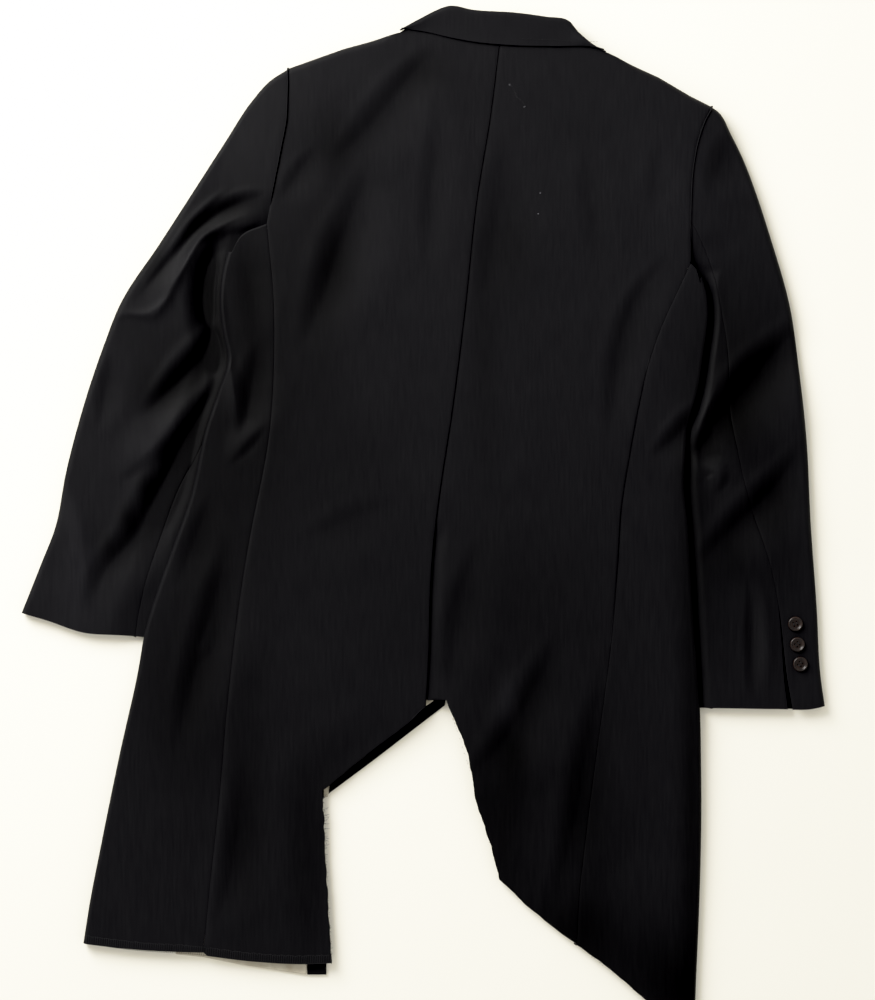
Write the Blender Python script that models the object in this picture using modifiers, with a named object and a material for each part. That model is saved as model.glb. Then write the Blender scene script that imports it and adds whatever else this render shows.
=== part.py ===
"""Cutout blazer, laid flat on its front with its back up.

A long tailored jacket of black wool suiting whose lower middle is cut away through every layer.
Each piece that a maker would cut is a thin wall of its own: a surface worked out from short tables
of real sizes, given its thickness by Solidify.  The tables are in millimetres: down runs from the
top of the collar towards the hems, across runs to the right of the middle, and heights run up from
the surface that the blazer lies on.
"""
import math

import bmesh
import bpy
import numpy as np

MM = 0.001
LENGTH = 1050.4
WALL = 1.5
SEAM = 0.4
ARMHOLE_SEAM = 0.7
SHOULDER_SEAM = 1.1
LAP = 0.4
ROW = 29.0
BACK_COLUMNS = 11
SIDE_COLUMNS = 5
FRONT_SHARES = (0.0, 0.07, 0.14, 0.21, 0.48, 0.74, 0.86, 1.0)

# The rounded edges: how far in from the outline they bend, in plan
SHOULDER_ROLL = 7.0
SIDE_ROLL = 4.5
SLEEVE_ROLL = 6.0
COLLAR_ROLL = 5.0
ROLL_STEPS = (0.0, 0.25, 1.0)
TURN_ANGLES = (45, 0, -45, -90)

# The sleeves' hidden edges lie under the body, which is lifted over them
TUCK_WIDTH = 22.0
TUCK_HEIGHT = 6.4
SLEEVE_ROWS = 22
UNDERARM_FAN = 1.7
SLEEVE_CROWN = 14.5
CUFF_CROWN = 10.5
SLEEVE_EDGE_HEIGHT = 5.6
SIDE_LIFT = 6.9
RETURN_WIDTH = 32.0
FRONT_RAMP = 34.0
FRONT_SEAM = 0.6
LIFT_RISE = 34.0
LIFT_FALL = 55.0
PAST_CUFF = 8.0
SIDE_LIFT_TOP = 200.0
SIDE_LOWEST = 7.6
SIDE_LOWEST_LIFTED = 11.0
TAIL_STEP = 22.0
UNDER_SEAM_SHARE = 0.55
EDGE_BLEND = 60.0
CROWN_REACH_FREE = 62.0
CROWN_REACH_TUCKED = 32.0
TUCK_CLEAR = 5.0
SLEEVE_FOLD_FADE = 16.0

SHOULDER_SEAM_HEIGHT = 8.0
NECK_CLEAR = 8.0
NECK_BLEND = 30.0
HEM_BOW = 2.0
VENT_TOP = 546.0
VENT_UNDERLAP = 5.0
VENT_GAP = 1.0
VENT_RUN = 26.0
UNDERLAP_START = 14.0
UNDERLAP_RUN = 30.0
VENT_WIDTH = 14.0
TAIL_CORNER_INNER = 0.12
TAIL_CORNER_OUTER = 0.05

# Outlines and seams, each row (down, across)
CENTRE_SEAM = (
    (33, 78), (58, 75), (107, 69), (201, 54), (305, 43), (409, 30), (503, 16), (554, 10),
    (605, 7), (656, 6), (713, 3),
)
SHOULDER_LEFT = ((27, -22), (43, -81), (63, -137))
SHOULDER_RIGHT = ((48, 187), (72, 240), (91, 272), (102, 294))
ARMHOLE_LEFT = ((63, -137), (91, -138), (116, -139), (143, -144), (195, -154), (222, -159))
ARMHOLE_RIGHT = ((102, 294), (119, 286), (140, 279), (161, 275), (214, 272), (262, 272))
UNDERARM_LEFT = ((222, -159), (234, -188), (250, -199), (269, -204), (305, -207))
UNDERARM_RIGHT = ((262, 272), (268, 280), (284, 287), (310, 291), (337, 289))
SIDE_SEAM_LEFT = (
    (222, -159), (243, -157), (287, -153), (388, -153), (439, -157), (480, -164), (523, -173),
    (605, -187), (707, -199), (809, -208), (911, -219), (964, -224),
)
SIDE_SEAM_RIGHT = (
    (262, 272), (284, 262), (328, 242), (366, 229), (405, 220), (465, 209), (509, 202), (569, 198),
    (652, 191), (707, 184), (774, 175), (845, 166), (907, 159), (957, 157),
)
SIDE_EDGE_LEFT = (
    (305, -207), (332, -204), (360, -199), (396, -210), (425, -220), (503, -238), (554, -256),
    (596, -271), (631, -282), (678, -291), (758, -309), (860, -330), (911, -340), (955, -347),
)
SIDE_EDGE_RIGHT = (
    (337, 289), (350, 287), (390, 281), (428, 271), (460, 268), (491, 267), (522, 270), (564, 273),
    (616, 276), (713, 282), (832, 284), (916, 282), (1013, 278), (1050, 277),
)
CUT_LEFT = ((713, 3), (730, -15), (762, -57), (799, -102), (857, -100), (926, -96), (975, -93))
CUT_RIGHT = (
    (707, 24), (740, 38), (763, 46), (786, 50), (805, 52), (833, 62), (857, 69), (890, 78),
    (913, 101), (937, 130), (957, 157),
)
CUT_TAIL = ((957, 157), (984, 194), (1013, 227), (1050, 276))
TAIL_CUT_DOWNS = (980.0, 1003.0, 1026.0, 1046.0)
TAIL_EDGE_DOWNS = (1000.0, 1020.0, 1037.0, 1050.0)
HEM_LEFT = ((975, -93), (976, -119), (973, -176), (966, -234), (962, -293), (955, -347))

# Rows that match across the body: down on the middle line, down on the side-back seam
LEFT_ROWS = ((33, 63), (232, 205), (500, 470), (713, 692), (799, 783), (975, 964))
RIGHT_ROWS = (
    (33, 102), (240, 262), (500, 527), (707, 733), (786, 805), (890, 893), (937, 940), (957, 957),
)

# The sleeves, each row (down, across)
SLEEVE_LEFT_OUTER = (
    (63, -138), (76, -158), (95, -175), (139, -204), (195, -240), (240, -269), (305, -311),
    (343, -326), (416, -350), (474, -365), (531, -376), (570, -391), (618, -410),
)
SLEEVE_RIGHT_OUTER = (
    (102, 295), (107, 302), (130, 315), (152, 326), (191, 341), (231, 354), (310, 376), (367, 384),
    (442, 392), (526, 396), (612, 402), (684, 406), (713, 410),
)
CUFF_LEFT = ((646, -262), (643, -284), (641, -307), (638, -347), (626, -383), (618, -410))
CUFF_RIGHT = ((715, 258), (715, 284), (716, 362), (716, 396), (713, 410))
HIDDEN_ARMHOLE_LEFT = ((240, -165), (256, -173))
HIDDEN_ARMHOLE_RIGHT = ((284, 268), (304, 262))
HIDDEN_EDGE_LEFT = ((256, -173), (292, -187))
HIDDEN_EDGE_RIGHT = ((304, 262), (330, 267))

# Where the sleeve's upper wall drops under the body: down, and over how far
SLEEVE_DROP_LEFT = (186, 64)
SLEEVE_DROP_RIGHT = (226, 64)

# The sleeve seams that show, each row: share of the sleeve's length, share across it
SLEEVE_SEAM_LEFT = (
    (0.0, 0.16), (0.3, 0.13), (0.6, 0.12), (0.68, 0.18), (0.75, 0.25), (0.82, 0.27), (0.9, 0.26),
    (1.0, 0.205),
)
SLEEVE_SEAM_RIGHT = (
    (0.0, 0.40), (0.3, 0.43), (0.5, 0.48), (0.65, 0.58), (0.77, 0.70), (1.0, 0.775),
)
SEAM_COLUMNS_LEFT = (8, 3)
SEAM_COLUMNS_RIGHT = (6, 6)
UNDER_COLUMNS_TOP = 3
UNDER_COLUMNS_UNDER = 4

# The fronts underneath, each row (down, across)
LAPEL_EDGE_LEFT = ((35, -39), (115, -73), (248, -24), (335, 26))
LAPEL_EDGE_RIGHT = ((56, 205), (125, 250), (258, 155), (335, 58))
LAPEL_ROLL_LEFT = ((36, -15), (335, 31))
LAPEL_ROLL_RIGHT = ((52, 180), (335, 52))
FRONT_LAP = 12.0
LAP_CLEAR = 8.0
LAP_RAMP = 26.0
LAP_TOP = 275.0
LAP_RISE = 14.0
LAP_SHORT = {"left": 25.0, "right": 50.0}
LAPEL_LEVEL = 300.0
LAPEL_INSET = 6.0
LAPEL_COLUMNS = 4
ARMHOLE_ROWS_END = 40.0
FRONT_FOOT_LEFT = 970.0
FRONT_FOOT_RIGHT = 1000.0
FRONT_CUT_LEFT = (
    (688, 17), (703, 23), (713, 22), (733, -4), (767, -48), (802, -95), (811, -105), (857, -105),
    (970, -100),
)
FRONT_CUT_RIGHT = ((708, 28), (763, 50), (833, 66), (890, 83), (957, 165), (1000, 216))

# The rows of the fronts that stand at the corners of their cut edges, each a run of rows
FRONT_CORNERS = {"left": ((713,), (802, 811)), "right": ()}

# The collar, each row (down, across)
COLLAR_EDGE = ((24, -19), (28, 7), (32, 23), (37, 49), (41, 92), (42, 133), (43, 172), (45, 180))
COLLAR_TOP = (
    (25, -24), (15, -6), (5, 12), (0, 26), (4, 51), (7, 95), (11, 125), (15, 148), (28, 159),
    (42, 176), (47, 186),
)

COLLAR_COLUMNS = 15
NECK_INSET = 0.12
NECK_POINTS = 7
COLLAR_LIFT = 2.4
COLLAR_TIP_RISE = 1.4
COLLAR_TIP_DEPTH = 3.4
COLLAR_FULL_DEPTH = 4.8
COLLAR_NARROW = 8.0
COLLAR_WIDEN = 16.0
COLLAR_ENDS_SHORT = 1.2
COLLAR_FALL_PARTS = (0.0, 0.4, 0.75, 1.0)

# The stand under the fall, each row: share of its width, rise of its lower face
COLLAR_STAND = ((0.45, 0.6), (1.0, 2.6))

# The back's height above the surface, each row (down, height)
BODY_HEIGHT = (
    (0, 14.5), (60, 16.5), (160, 17.0), (300, 16.5), (500, 15.0), (700, 13.5), (850, 11.5),
    (970, 10.5), (1060, 10.0),
)

# The shoulder pads, each row: down, across, rise
SHOULDER_PADS = ((100, -100, 3.0), (135, 255, 3.0))
PAD_REACH = 60.0

# How a fold fades: the share of its length that it fades over, and what is left at its ends
FOLD_FADE = 0.22
FOLD_END = 0.25

# Folds, each row: name, depth of the trough (a ridge is less than 0), half width, path (down, across)
BODY_FOLDS = (
    ("left shoulder blade", 3.0, 15, ((44, 10), (88, -24), (124, -53), (159, -90))),
    ("left back", 3.2, 15, ((172, -58), (217, -73), (275, -93), (345, -120))),
    ("centre back", 1.6, 16, ((136, 87), (220, 77), (305, 55))),
    ("right side-back", 2.2, 14, ((259, 254), (300, 215), (330, 205), (401, 193), (442, 188))),
    ("right waist", 3.2, 13, ((410, 280), (442, 254), (455, 236))),
    ("left underarm", 2.4, 13, ((248, -182), (289, -171), (327, -163))),
    ("left waist trough", 3.6, 12, ((350, -168), (378, -172), (408, -176), (430, -184))),
    ("left waist ridge", -1.6, 10, ((356, -200), (388, -192), (414, -192), (425, -187))),
    ("left skirt", 3.2, 16, ((546, -194), (591, -207), (674, -229), (748, -249))),
    ("waist drag", 1.2, 14, ((533, -95), (518, -59), (508, -24))),
    ("left tail", 3.0, 14, ((786, -187), (848, -188), (887, -195), (931, -210))),
    ("right tail inner", 4.0, 17, ((650, 134), (696, 115), (741, 89), (776, 56))),
    ("right tail seam", 3.0, 14, ((686, 184), (748, 171), (845, 153), (916, 131))),
    ("beside the vent", 2.2, 14, ((552, 53), (617, 37), (696, 27))),
    ("left cut edge", 2.6, 24, ((713, 3), (799, -102), (857, -100), (975, -93))),
    ("right cut edge", 2.6, 24, ((707, 24), (786, 50), (890, 78), (957, 157), (1050, 276))),
)
LEFT_SLEEVE_FOLDS = (
    ("elbow ridge", -2.4, 12, ((221, -190), (245, -218), (285, -247), (315, -275), (316, -301))),
    ("head trough", 3.0, 11, ((203, -172), (219, -216), (240, -241), (275, -256))),
    ("upper arm hollow", 3.8, 14, ((248, -215), (285, -218), (330, -222))),
    ("elbow trough", 3.4, 15, ((340, -222), (375, -245), (410, -276))),
    ("forearm trough", 4.6, 18, ((385, -205), (450, -256), (520, -300), (575, -330), (620, -330))),
    ("forearm ridge", -1.6, 13, ((412, -237), (478, -310))),
    ("cuff ridge", -2.2, 13, ((493, -363), (541, -350), (607, -348))),
)
RIGHT_SLEEVE_FOLDS = (
    ("elbow trough", 4.4, 16, ((329, 368), (373, 333), (405, 306), (452, 277))),
    ("forearm trough", 4.2, 15, ((452, 384), (490, 358), (522, 327), (564, 291))),
    ("sleeve head", 1.8, 14, ((142, 312), (168, 302), (186, 296))),
    ("elbow ridge", -1.8, 12, ((395, 293), (442, 276))),
)

# The hidden linings and facing that show past the back's edges, each row (down, across)
LINING_HEM_TOP = ((945, -253), (955, -119.5))
LINING_HEM_FOOT = ((967, -253), (970, -225), (978, -185), (988, -119.5))
FACING_TAB_TOP = ((955, -118.5), (956, -99))
FACING_TAB_FOOT = ((988, -118.5), (988, -99))
LINING_CUT_TOP = ((782, -101.5), (752, -60), (703, -2))
LINING_CUT_FOOT = (
    (807, -101.5), (800, -96), (783, -84.5), (760, -58), (727, -15.5), (716, 1), (709, 11),
)
LINING_WALL = 1.2

# The buttons of the right cuff, each row (down, across)
BUTTONS = ((629, 379), (650, 381), (670, 384))
BUTTON_RADIUS = 7.5
BUTTON_PROFILE = (
    (0.0, 1.5), (4.8, 1.5), (6.0, 2.9), (7.0, 2.8), (7.5, 1.8), (6.2, 0.0), (0.0, 0.0),
)
BUTTON_SIDES = 16

CLOTH_COLOUR = (0.012, 0.012, 0.014, 1.0)
LINING_COLOUR = (0.62, 0.56, 0.44, 1.0)
BUTTON_COLOUR = (0.03, 0.018, 0.015, 1.0)


def soft_step(value):
    """0 below 0, 1 above 1 and an even S between."""
    value = np.clip(value, 0.0, 1.0)
    return value * value * (3.0 - 2.0 * value)


def smooth_through(knots, values, at):
    """Read a smooth curve through values at rising knots."""
    knots = np.asarray(knots, float)
    values = np.asarray(values, float)
    at = np.clip(np.asarray(at, float), knots[0], knots[-1])
    steps = np.diff(knots)
    chords = np.diff(values) / steps
    slopes = np.empty_like(values)
    slopes[0], slopes[-1] = chords[0], chords[-1]
    slopes[1:-1] = (chords[:-1] * steps[1:] + chords[1:] * steps[:-1]) / (steps[1:] + steps[:-1])
    low = np.clip(np.searchsorted(knots, at, side="right") - 1, 0, len(knots) - 2)
    span = steps[low]
    t = (at - knots[low]) / span
    return (
        (1 + 2 * t) * (1 - t) ** 2 * values[low]
        + t * (1 - t) ** 2 * span * slopes[low]
        + t * t * (3 - 2 * t) * values[low + 1]
        - t * t * (1 - t) * span * slopes[low + 1]
    )


def at_downs(table, downs, straight=False):
    """Points (across, down) of an outline at the given distances down."""
    table = np.asarray(table, float)
    read = np.interp if straight else (lambda at, knots, values: smooth_through(knots, values, at))
    return np.stack([read(downs, table[:, 0], table[:, 1]), np.asarray(downs, float)], axis=1)


def along(table, shares, straight=False):
    """Points (across, down) at shares of an outline's length."""
    points = np.asarray(table, float)[:, ::-1]
    run = np.concatenate([[0.0], np.cumsum(np.linalg.norm(np.diff(points, axis=0), axis=1))])
    at = np.asarray(shares, float) * run[-1]
    if straight:
        return np.stack([np.interp(at, run, points[:, i]) for i in (0, 1)], axis=1)
    return np.stack([smooth_through(run, points[:, i], at) for i in (0, 1)], axis=1)


def side_normals(points):
    """Unit normals in plan, to the right of the way the points run."""
    way = np.gradient(points, axis=0)
    way /= np.linalg.norm(way, axis=1, keepdims=True)
    return np.stack([-way[:, 1], way[:, 0]], axis=1)


def moved(points, distance):
    """The points moved sideways in plan by a distance."""
    return points + side_normals(points) * distance


def spread(left, right, top, foot, shares):
    """Fill four edges with points.

    left and right hold one point a row, top and foot one point a column.  shares gives each
    column's place between left and right, as one row or as one row for each row of points.
    """
    rows = len(left)
    run = np.linalg.norm(np.diff((left + right) / 2, axis=0), axis=1)
    v = np.concatenate([[0.0], np.cumsum(run)])
    v = (v / v[-1])[:, None, None]
    u = np.broadcast_to(np.asarray(shares, float), (rows, len(top)))[:, :, None]
    across = (1 - u) * left[:, None, :] + u * right[:, None, :]
    u_top, u_foot = u[0], u[-1]
    top_bow = top - ((1 - u_top) * left[0] + u_top * right[0])
    foot_bow = foot - ((1 - u_foot) * left[-1] + u_foot * right[-1])
    return across + (1 - v) * top_bow[None] + v * foot_bow[None]


def distance_to(points, path):
    """Each point's distance from a path, and its share of the way along it."""
    path = np.asarray(path, float)[:, ::-1]
    lengths = np.linalg.norm(np.diff(path, axis=0), axis=1)
    starts = np.concatenate([[0.0], np.cumsum(lengths)])
    nearest = np.full(points.shape[:-1], np.inf)
    share = np.zeros(points.shape[:-1])
    for i, length in enumerate(lengths):
        way = (path[i + 1] - path[i]) / length
        run = np.clip((points - path[i]) @ way, 0.0, length)
        gap = np.linalg.norm(points - (path[i] + run[..., None] * way), axis=-1)
        closer = gap < nearest
        nearest = np.where(closer, gap, nearest)
        share = np.where(closer, (starts[i] + run) / starts[-1], share)
    return nearest, share


def relief(points, folds):
    """What the folds take from the height at each point."""
    total = np.zeros(points.shape[:-1])
    for _, depth, half_width, path in folds:
        gap, share = distance_to(points, path)
        fade = soft_step(share / FOLD_FADE + FOLD_END)
        fade *= soft_step((1 - share) / FOLD_FADE + FOLD_END)
        total += depth * np.exp(-((gap / half_width) ** 2)) * fade
    return total


def rolled(distance, roll):
    """How far a rounded edge has risen, from 0 on the outline to 1 at the roll's width."""
    inner = 1.0 - np.clip(distance / roll, 0.0, 1.0)
    return np.sqrt(np.clip(1.0 - inner * inner, 0.0, 1.0))


def over_sleeve(downs, cuff_down, start_down):
    """How much of the side's lift there is at each distance down."""
    rise = soft_step((downs - start_down) / LIFT_RISE)
    return rise * (1.0 - soft_step((downs - cuff_down - PAST_CUFF) / LIFT_FALL))


def body_height(points):
    """The height of the back and side panels' outer face."""
    downs = points[..., 1]
    height = smooth_through(*np.asarray(BODY_HEIGHT, float).T, downs)
    for pad_down, pad_across, rise in SHOULDER_PADS:
        gap = np.hypot(points[..., 0] - pad_across, downs - pad_down)
        height = height + rise * np.exp(-((gap / PAD_REACH) ** 2))
    return height - relief(points, BODY_FOLDS)


def wall_object(name, points, heights, outward, colour, wall=WALL):
    """Make a piece of cloth from a grid of points and the heights of its outer face.

    outward is 1 where the first columns' outer face looks up and -1 where it looks down.
    """
    rows, columns = heights.shape
    mesh = bpy.data.meshes.new(name)
    shell = bmesh.new()
    grid = [
        [
            shell.verts.new((p[0] * MM, (LENGTH / 2 - p[1]) * MM, z * MM))
            for p, z in zip(point_row, height_row)
        ]
        for point_row, height_row in zip(points, heights)
    ]
    for i in range(rows - 1):
        for j in range(columns - 1):
            shell.faces.new((grid[i][j], grid[i + 1][j], grid[i + 1][j + 1], grid[i][j + 1]))
    shell.normal_update()
    shell.faces.ensure_lookup_table()
    near = [row * (columns - 1) + column for row in range(rows - 1) for column in range(2)]
    if sum(shell.faces[i].normal.z for i in near) * outward < 0:
        bmesh.ops.reverse_faces(shell, faces=shell.faces)
    shell.to_mesh(mesh)
    shell.free()
    mesh.shade_smooth()
    piece = add_object(name, mesh, colour, 0.85)
    thickness = piece.modifiers.new("cloth", "SOLIDIFY")
    thickness.thickness = wall * MM
    thickness.offset = -1.0
    return piece


def add_object(name, mesh, colour, roughness):
    """Add a mesh as a named piece of the blazer with its own material."""
    material = bpy.data.materials.new(name)
    material.use_nodes = True
    shader = material.node_tree.nodes["Principled BSDF"]
    shader.inputs["Base Color"].default_value = colour
    shader.inputs["Roughness"].default_value = roughness
    shader.inputs["Metallic"].default_value = 0.0
    mesh.materials.append(material)
    piece = bpy.data.objects.new(name, mesh)
    BLAZER.objects.link(piece)
    piece.parent = ORIGIN
    return piece


def stations(start, end, step, extra=()):
    """Distances from start to end in even steps near a step, with extra ones put in."""
    count = max(2, round((end - start) / step) + 1)
    places = list(np.linspace(start, end, count))
    for place in extra:
        places = [p for p in places if abs(p - place) > step * 0.4 or p in (start, end)]
        places.append(place)
    return np.array(sorted(places))


class Half:
    """One half of the body: its outlines, and the rows that its panels share."""

    def __init__(self, name):
        left = name == "left"
        self.name = name
        self.side = -1 if left else 1
        self.rows = LEFT_ROWS if left else RIGHT_ROWS
        self.shoulder = SHOULDER_LEFT if left else SHOULDER_RIGHT
        self.armhole = ARMHOLE_LEFT if left else ARMHOLE_RIGHT
        self.hidden_armhole = HIDDEN_ARMHOLE_LEFT if left else HIDDEN_ARMHOLE_RIGHT
        self.underarm = UNDERARM_LEFT if left else UNDERARM_RIGHT
        self.seam = SIDE_SEAM_LEFT if left else SIDE_SEAM_RIGHT
        self.edge = SIDE_EDGE_LEFT if left else SIDE_EDGE_RIGHT
        self.cut = CUT_LEFT if left else CUT_RIGHT
        self.lapel_edge = LAPEL_EDGE_LEFT if left else LAPEL_EDGE_RIGHT
        self.lapel_roll = LAPEL_ROLL_LEFT if left else LAPEL_ROLL_RIGHT
        self.front_cut = FRONT_CUT_LEFT if left else FRONT_CUT_RIGHT
        self.cuff = CUFF_LEFT if left else CUFF_RIGHT
        self.drop = SLEEVE_DROP_LEFT if left else SLEEVE_DROP_RIGHT
        self.neck = neckline(self.side)
        self.corner = self.cut[0][0]
        self.seam_top = self.seam[0][0]
        self.underarm_down = self.underarm[-1][0]
        self.middle_downs = self.middle_rows()
        self.seam_downs = np.interp(self.middle_downs, *np.asarray(self.rows, float).T)

    def middle_rows(self):
        """Distances down the middle line, with rows at the roll, the seams' ends and the cuts."""
        top = self.neck[0][0]
        centre, outer = np.asarray(self.rows, float).T
        extra = [float(np.interp(self.seam_top, outer, centre))]
        extra += [row[0] for row in (self.cut[0], self.cut[3])]
        body = stations(top + SHOULDER_ROLL * 2.6, centre[-1], ROW, extra)
        return np.concatenate([top + np.array(ROLL_STEPS) * SHOULDER_ROLL, body])

    def middle(self):
        """The middle line: the centre seam, then the edge of the cut."""
        downs = self.middle_downs
        seam = at_downs(CENTRE_SEAM, downs)
        seam[:, 0] += self.side * SEAM / 2
        if self.side > 0:
            seam[:, 0] -= VENT_UNDERLAP * soft_step((downs - VENT_TOP - UNDERLAP_START) / UNDERLAP_RUN)
        cut = at_downs(self.cut, downs, straight=True)
        return np.where((downs < self.corner - 0.01)[:, None], seam, cut)

    def side_back(self):
        """The back's outer line: the armhole, then the side-back seam."""
        downs = self.seam_downs
        above = (downs < self.seam_top)[:, None]
        return np.where(above, at_downs(self.armhole, downs), at_downs(self.seam, downs))

    def outline(self, downs):
        """How far across the armhole, the underarm and the side edge lie."""
        line = self.armhole + self.underarm[1:] + self.edge[1:]
        return smooth_through(*np.asarray(line, float).T, downs)

    def build_back(self):
        """One half of the back."""
        middle = self.middle()
        outer = moved(self.side_back(), self.side * SEAM / 2)
        share = np.linspace(0.0, 1.0, BACK_COLUMNS)
        top = along(self.neck + self.shoulder, share, straight=True)
        top[0], top[-1] = middle[0], outer[0]
        if self.side < 0:
            foot = along(HEM_LEFT, share * 0.5)
            foot[0], foot[-1] = middle[-1], outer[-1]
        else:
            middle[-1] += (middle[-2] - middle[-1]) * TAIL_CORNER_INNER
            outer[-1] += (outer[-2] - outer[-1]) * TAIL_CORNER_OUTER
            foot = middle[-1] + (outer[-1] - middle[-1]) * share[:, None]
        points = spread(middle, outer, top, foot, share)
        heights = body_height(points)
        neck_length = length_of(self.neck)
        run = share * (neck_length + length_of(self.shoulder)) - neck_length
        from_top = points[..., 1] - points[0, :, 1]
        bend = soft_step((run - NECK_CLEAR) / NECK_BLEND) * (1.0 - rolled(from_top, SHOULDER_ROLL))
        heights = heights + (SHOULDER_SEAM_HEIGHT - heights) * bend
        if self.side > 0:
            heights -= vent_step(points)
        return wall_object(f"back_{self.name}", points, heights, 1, CLOTH_COLOUR)

    def side_lines(self):
        """Points on the side panel's seam, which goes on along the cut tail, and on its edge."""
        downs = self.seam_downs[self.seam_downs >= self.seam_top - 0.01]
        inner = moved(at_downs(self.seam, downs), -self.side * SEAM / 2)
        edge_foot = self.edge[-1][0] if self.side < 0 else TAIL_EDGE_DOWNS[0] - TAIL_STEP
        edge_downs = np.interp(downs, [downs[0], downs[-1]], [self.underarm_down, edge_foot])
        outer = at_downs(self.edge, edge_downs)
        if self.side > 0:
            inner = np.concatenate([inner, at_downs(CUT_TAIL, TAIL_CUT_DOWNS, straight=True)])
            outer = np.concatenate([outer, at_downs(self.edge, TAIL_EDGE_DOWNS)])
        return inner, outer

    def build_side(self):
        """The side panel, from the side-back seam round the edge to the side-front seam."""
        inner, outer = self.side_lines()
        width = np.linalg.norm(outer - inner, axis=1)
        roll = np.minimum(SIDE_ROLL, width * 0.3)[:, None]
        back = np.minimum(RETURN_WIDTH, width * 0.8)[:, None]
        into = side_normals(outer) * self.side
        top_edge = outer + into * roll
        share = np.linspace(0.0, 1.0, SIDE_COLUMNS)
        top = along(self.underarm, share)
        shift = (1 - share)[:, None] * (inner[0] - top[0]) + share[:, None] * (top_edge[0] - top[-1])
        foot = inner[-1] + (top_edge[-1] - inner[-1]) * share[:, None]
        if self.side < 0:
            foot[:, 1] += HEM_BOW * np.sin(math.pi * share)
        panel = spread(inner, top_edge, top + shift, foot, share)
        over = over_sleeve(outer[:, 1], self.cuff[0][0], SIDE_LIFT_TOP)
        lift = (SIDE_LIFT * over)[:, None]
        lowest = SIDE_LOWEST + (SIDE_LOWEST_LIFTED - SIDE_LOWEST) * over
        panel_height = np.maximum(body_height(panel), lowest[:, None])
        edge_height = panel_height[:, -1:]
        middle = (edge_height + lift) / 2
        columns, heights = [panel], [panel_height]
        for angle in TURN_ANGLES:
            turn = math.radians(angle)
            columns.append((outer + into * roll * (1 - math.cos(turn)))[:, None, :])
            heights.append(middle + (edge_height - middle) * math.sin(turn))
        columns.append((outer + into * back)[:, None, :])
        heights.append(lift)
        self.front_seam = outer + into * (back + FRONT_SEAM)
        return wall_object(
            f"side_{self.name}",
            np.concatenate(columns, axis=1),
            np.concatenate(heights, axis=1),
            1,
            CLOTH_COLOUR,
        )

    def front_lines(self):
        """Points down the front's outer and inner edges, and how many lie beside the lapel."""
        top = self.shoulder[-1][0]
        armhole = self.armhole + self.hidden_armhole
        upper = np.concatenate([
            top + np.array(ROLL_STEPS) * SHOULDER_ROLL,
            stations(top + SHOULDER_ROLL * 3.0, self.underarm_down - ARMHOLE_ROWS_END, ROW),
        ])
        outer = at_downs(armhole, upper)
        outer[:, 0] -= self.side * ARMHOLE_SEAM * 2
        seam = self.front_seam
        if self.side > 0:
            seam = seam[seam[:, 1] < FRONT_FOOT_RIGHT]
        outer = np.concatenate([outer, seam])
        foot = FRONT_FOOT_LEFT if self.side < 0 else outer[-1, 1]
        inner_downs = np.interp(
            outer[:, 1],
            [outer[0, 1], LAPEL_LEVEL, outer[-1, 1]],
            [self.lapel_edge[0][0], LAPEL_LEVEL, foot],
        )
        for downs in FRONT_CORNERS[self.name]:
            row = int(np.argmin(np.abs(inner_downs - downs[0])))
            inner_downs[row : row + len(downs)] = downs
        break_down = self.lapel_edge[-1][0]
        centre = smooth_through(*np.asarray(CENTRE_SEAM, float).T, inner_downs)
        beside_lapel = np.interp(inner_downs, *np.asarray(self.lapel_edge, float).T)
        lap_foot = self.corner - LAP_SHORT[self.name]
        cut = np.interp(inner_downs, *np.asarray(self.front_cut, float).T)
        across = np.where(inner_downs < lap_foot, centre - self.side * FRONT_LAP, cut)
        across = np.where(inner_downs < break_down, beside_lapel, across)
        return outer, np.stack([across, inner_downs], axis=1), int((inner_downs < break_down).sum())

    def build_front(self):
        """The front underneath, from the shoulder to the hem, and the lapel that lies beside it."""
        outer, inner, lapel_rows = self.front_lines()
        share = np.asarray(FRONT_SHARES)
        top = outer[0] + (inner[0] - outer[0]) * share[:, None]
        shoulder = np.asarray(self.shoulder, float)
        order = np.argsort(shoulder[:, 1])
        top[:, 1] = np.interp(top[:, 0], shoulder[order, 1], shoulder[order, 0])
        inner[: len(ROLL_STEPS), 1] += top[-1, 1] - inner[0, 1]
        foot = outer[-1] + (inner[-1] - outer[-1]) * share[:, None]
        points = spread(outer, inner, top, foot, share)
        from_seam = np.abs(points[..., 0] - outer[:, :1])
        lift_top = self.underarm_down - ARMHOLE_ROWS_END - PAST_CUFF
        over = over_sleeve(points[..., 1], self.cuff[0][0], lift_top)
        heights = SIDE_LIFT * over * (1.0 - soft_step(from_seam / FRONT_RAMP))
        if self.side > 0:
            centre = smooth_through(*np.asarray(CENTRE_SEAM, float).T, points[..., 1])
            past_lap = points[..., 0] - centre - FRONT_LAP - LAP_CLEAR
            lapped = 1.0 - soft_step(past_lap / LAP_RAMP)
            heights += (WALL + LAP) * lapped * soft_step((points[..., 1] - LAP_TOP) / LAP_RISE)
        from_top = points[..., 1] - points[0, :, 1]
        heights += (SHOULDER_SEAM_HEIGHT - SHOULDER_SEAM) * (1.0 - rolled(from_top, SHOULDER_ROLL))
        wall_object(f"front_{self.name}", points, heights, -1, CLOTH_COLOUR)
        beside = inner[len(ROLL_STEPS) : lapel_rows]
        self.build_lapel(beside)

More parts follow.
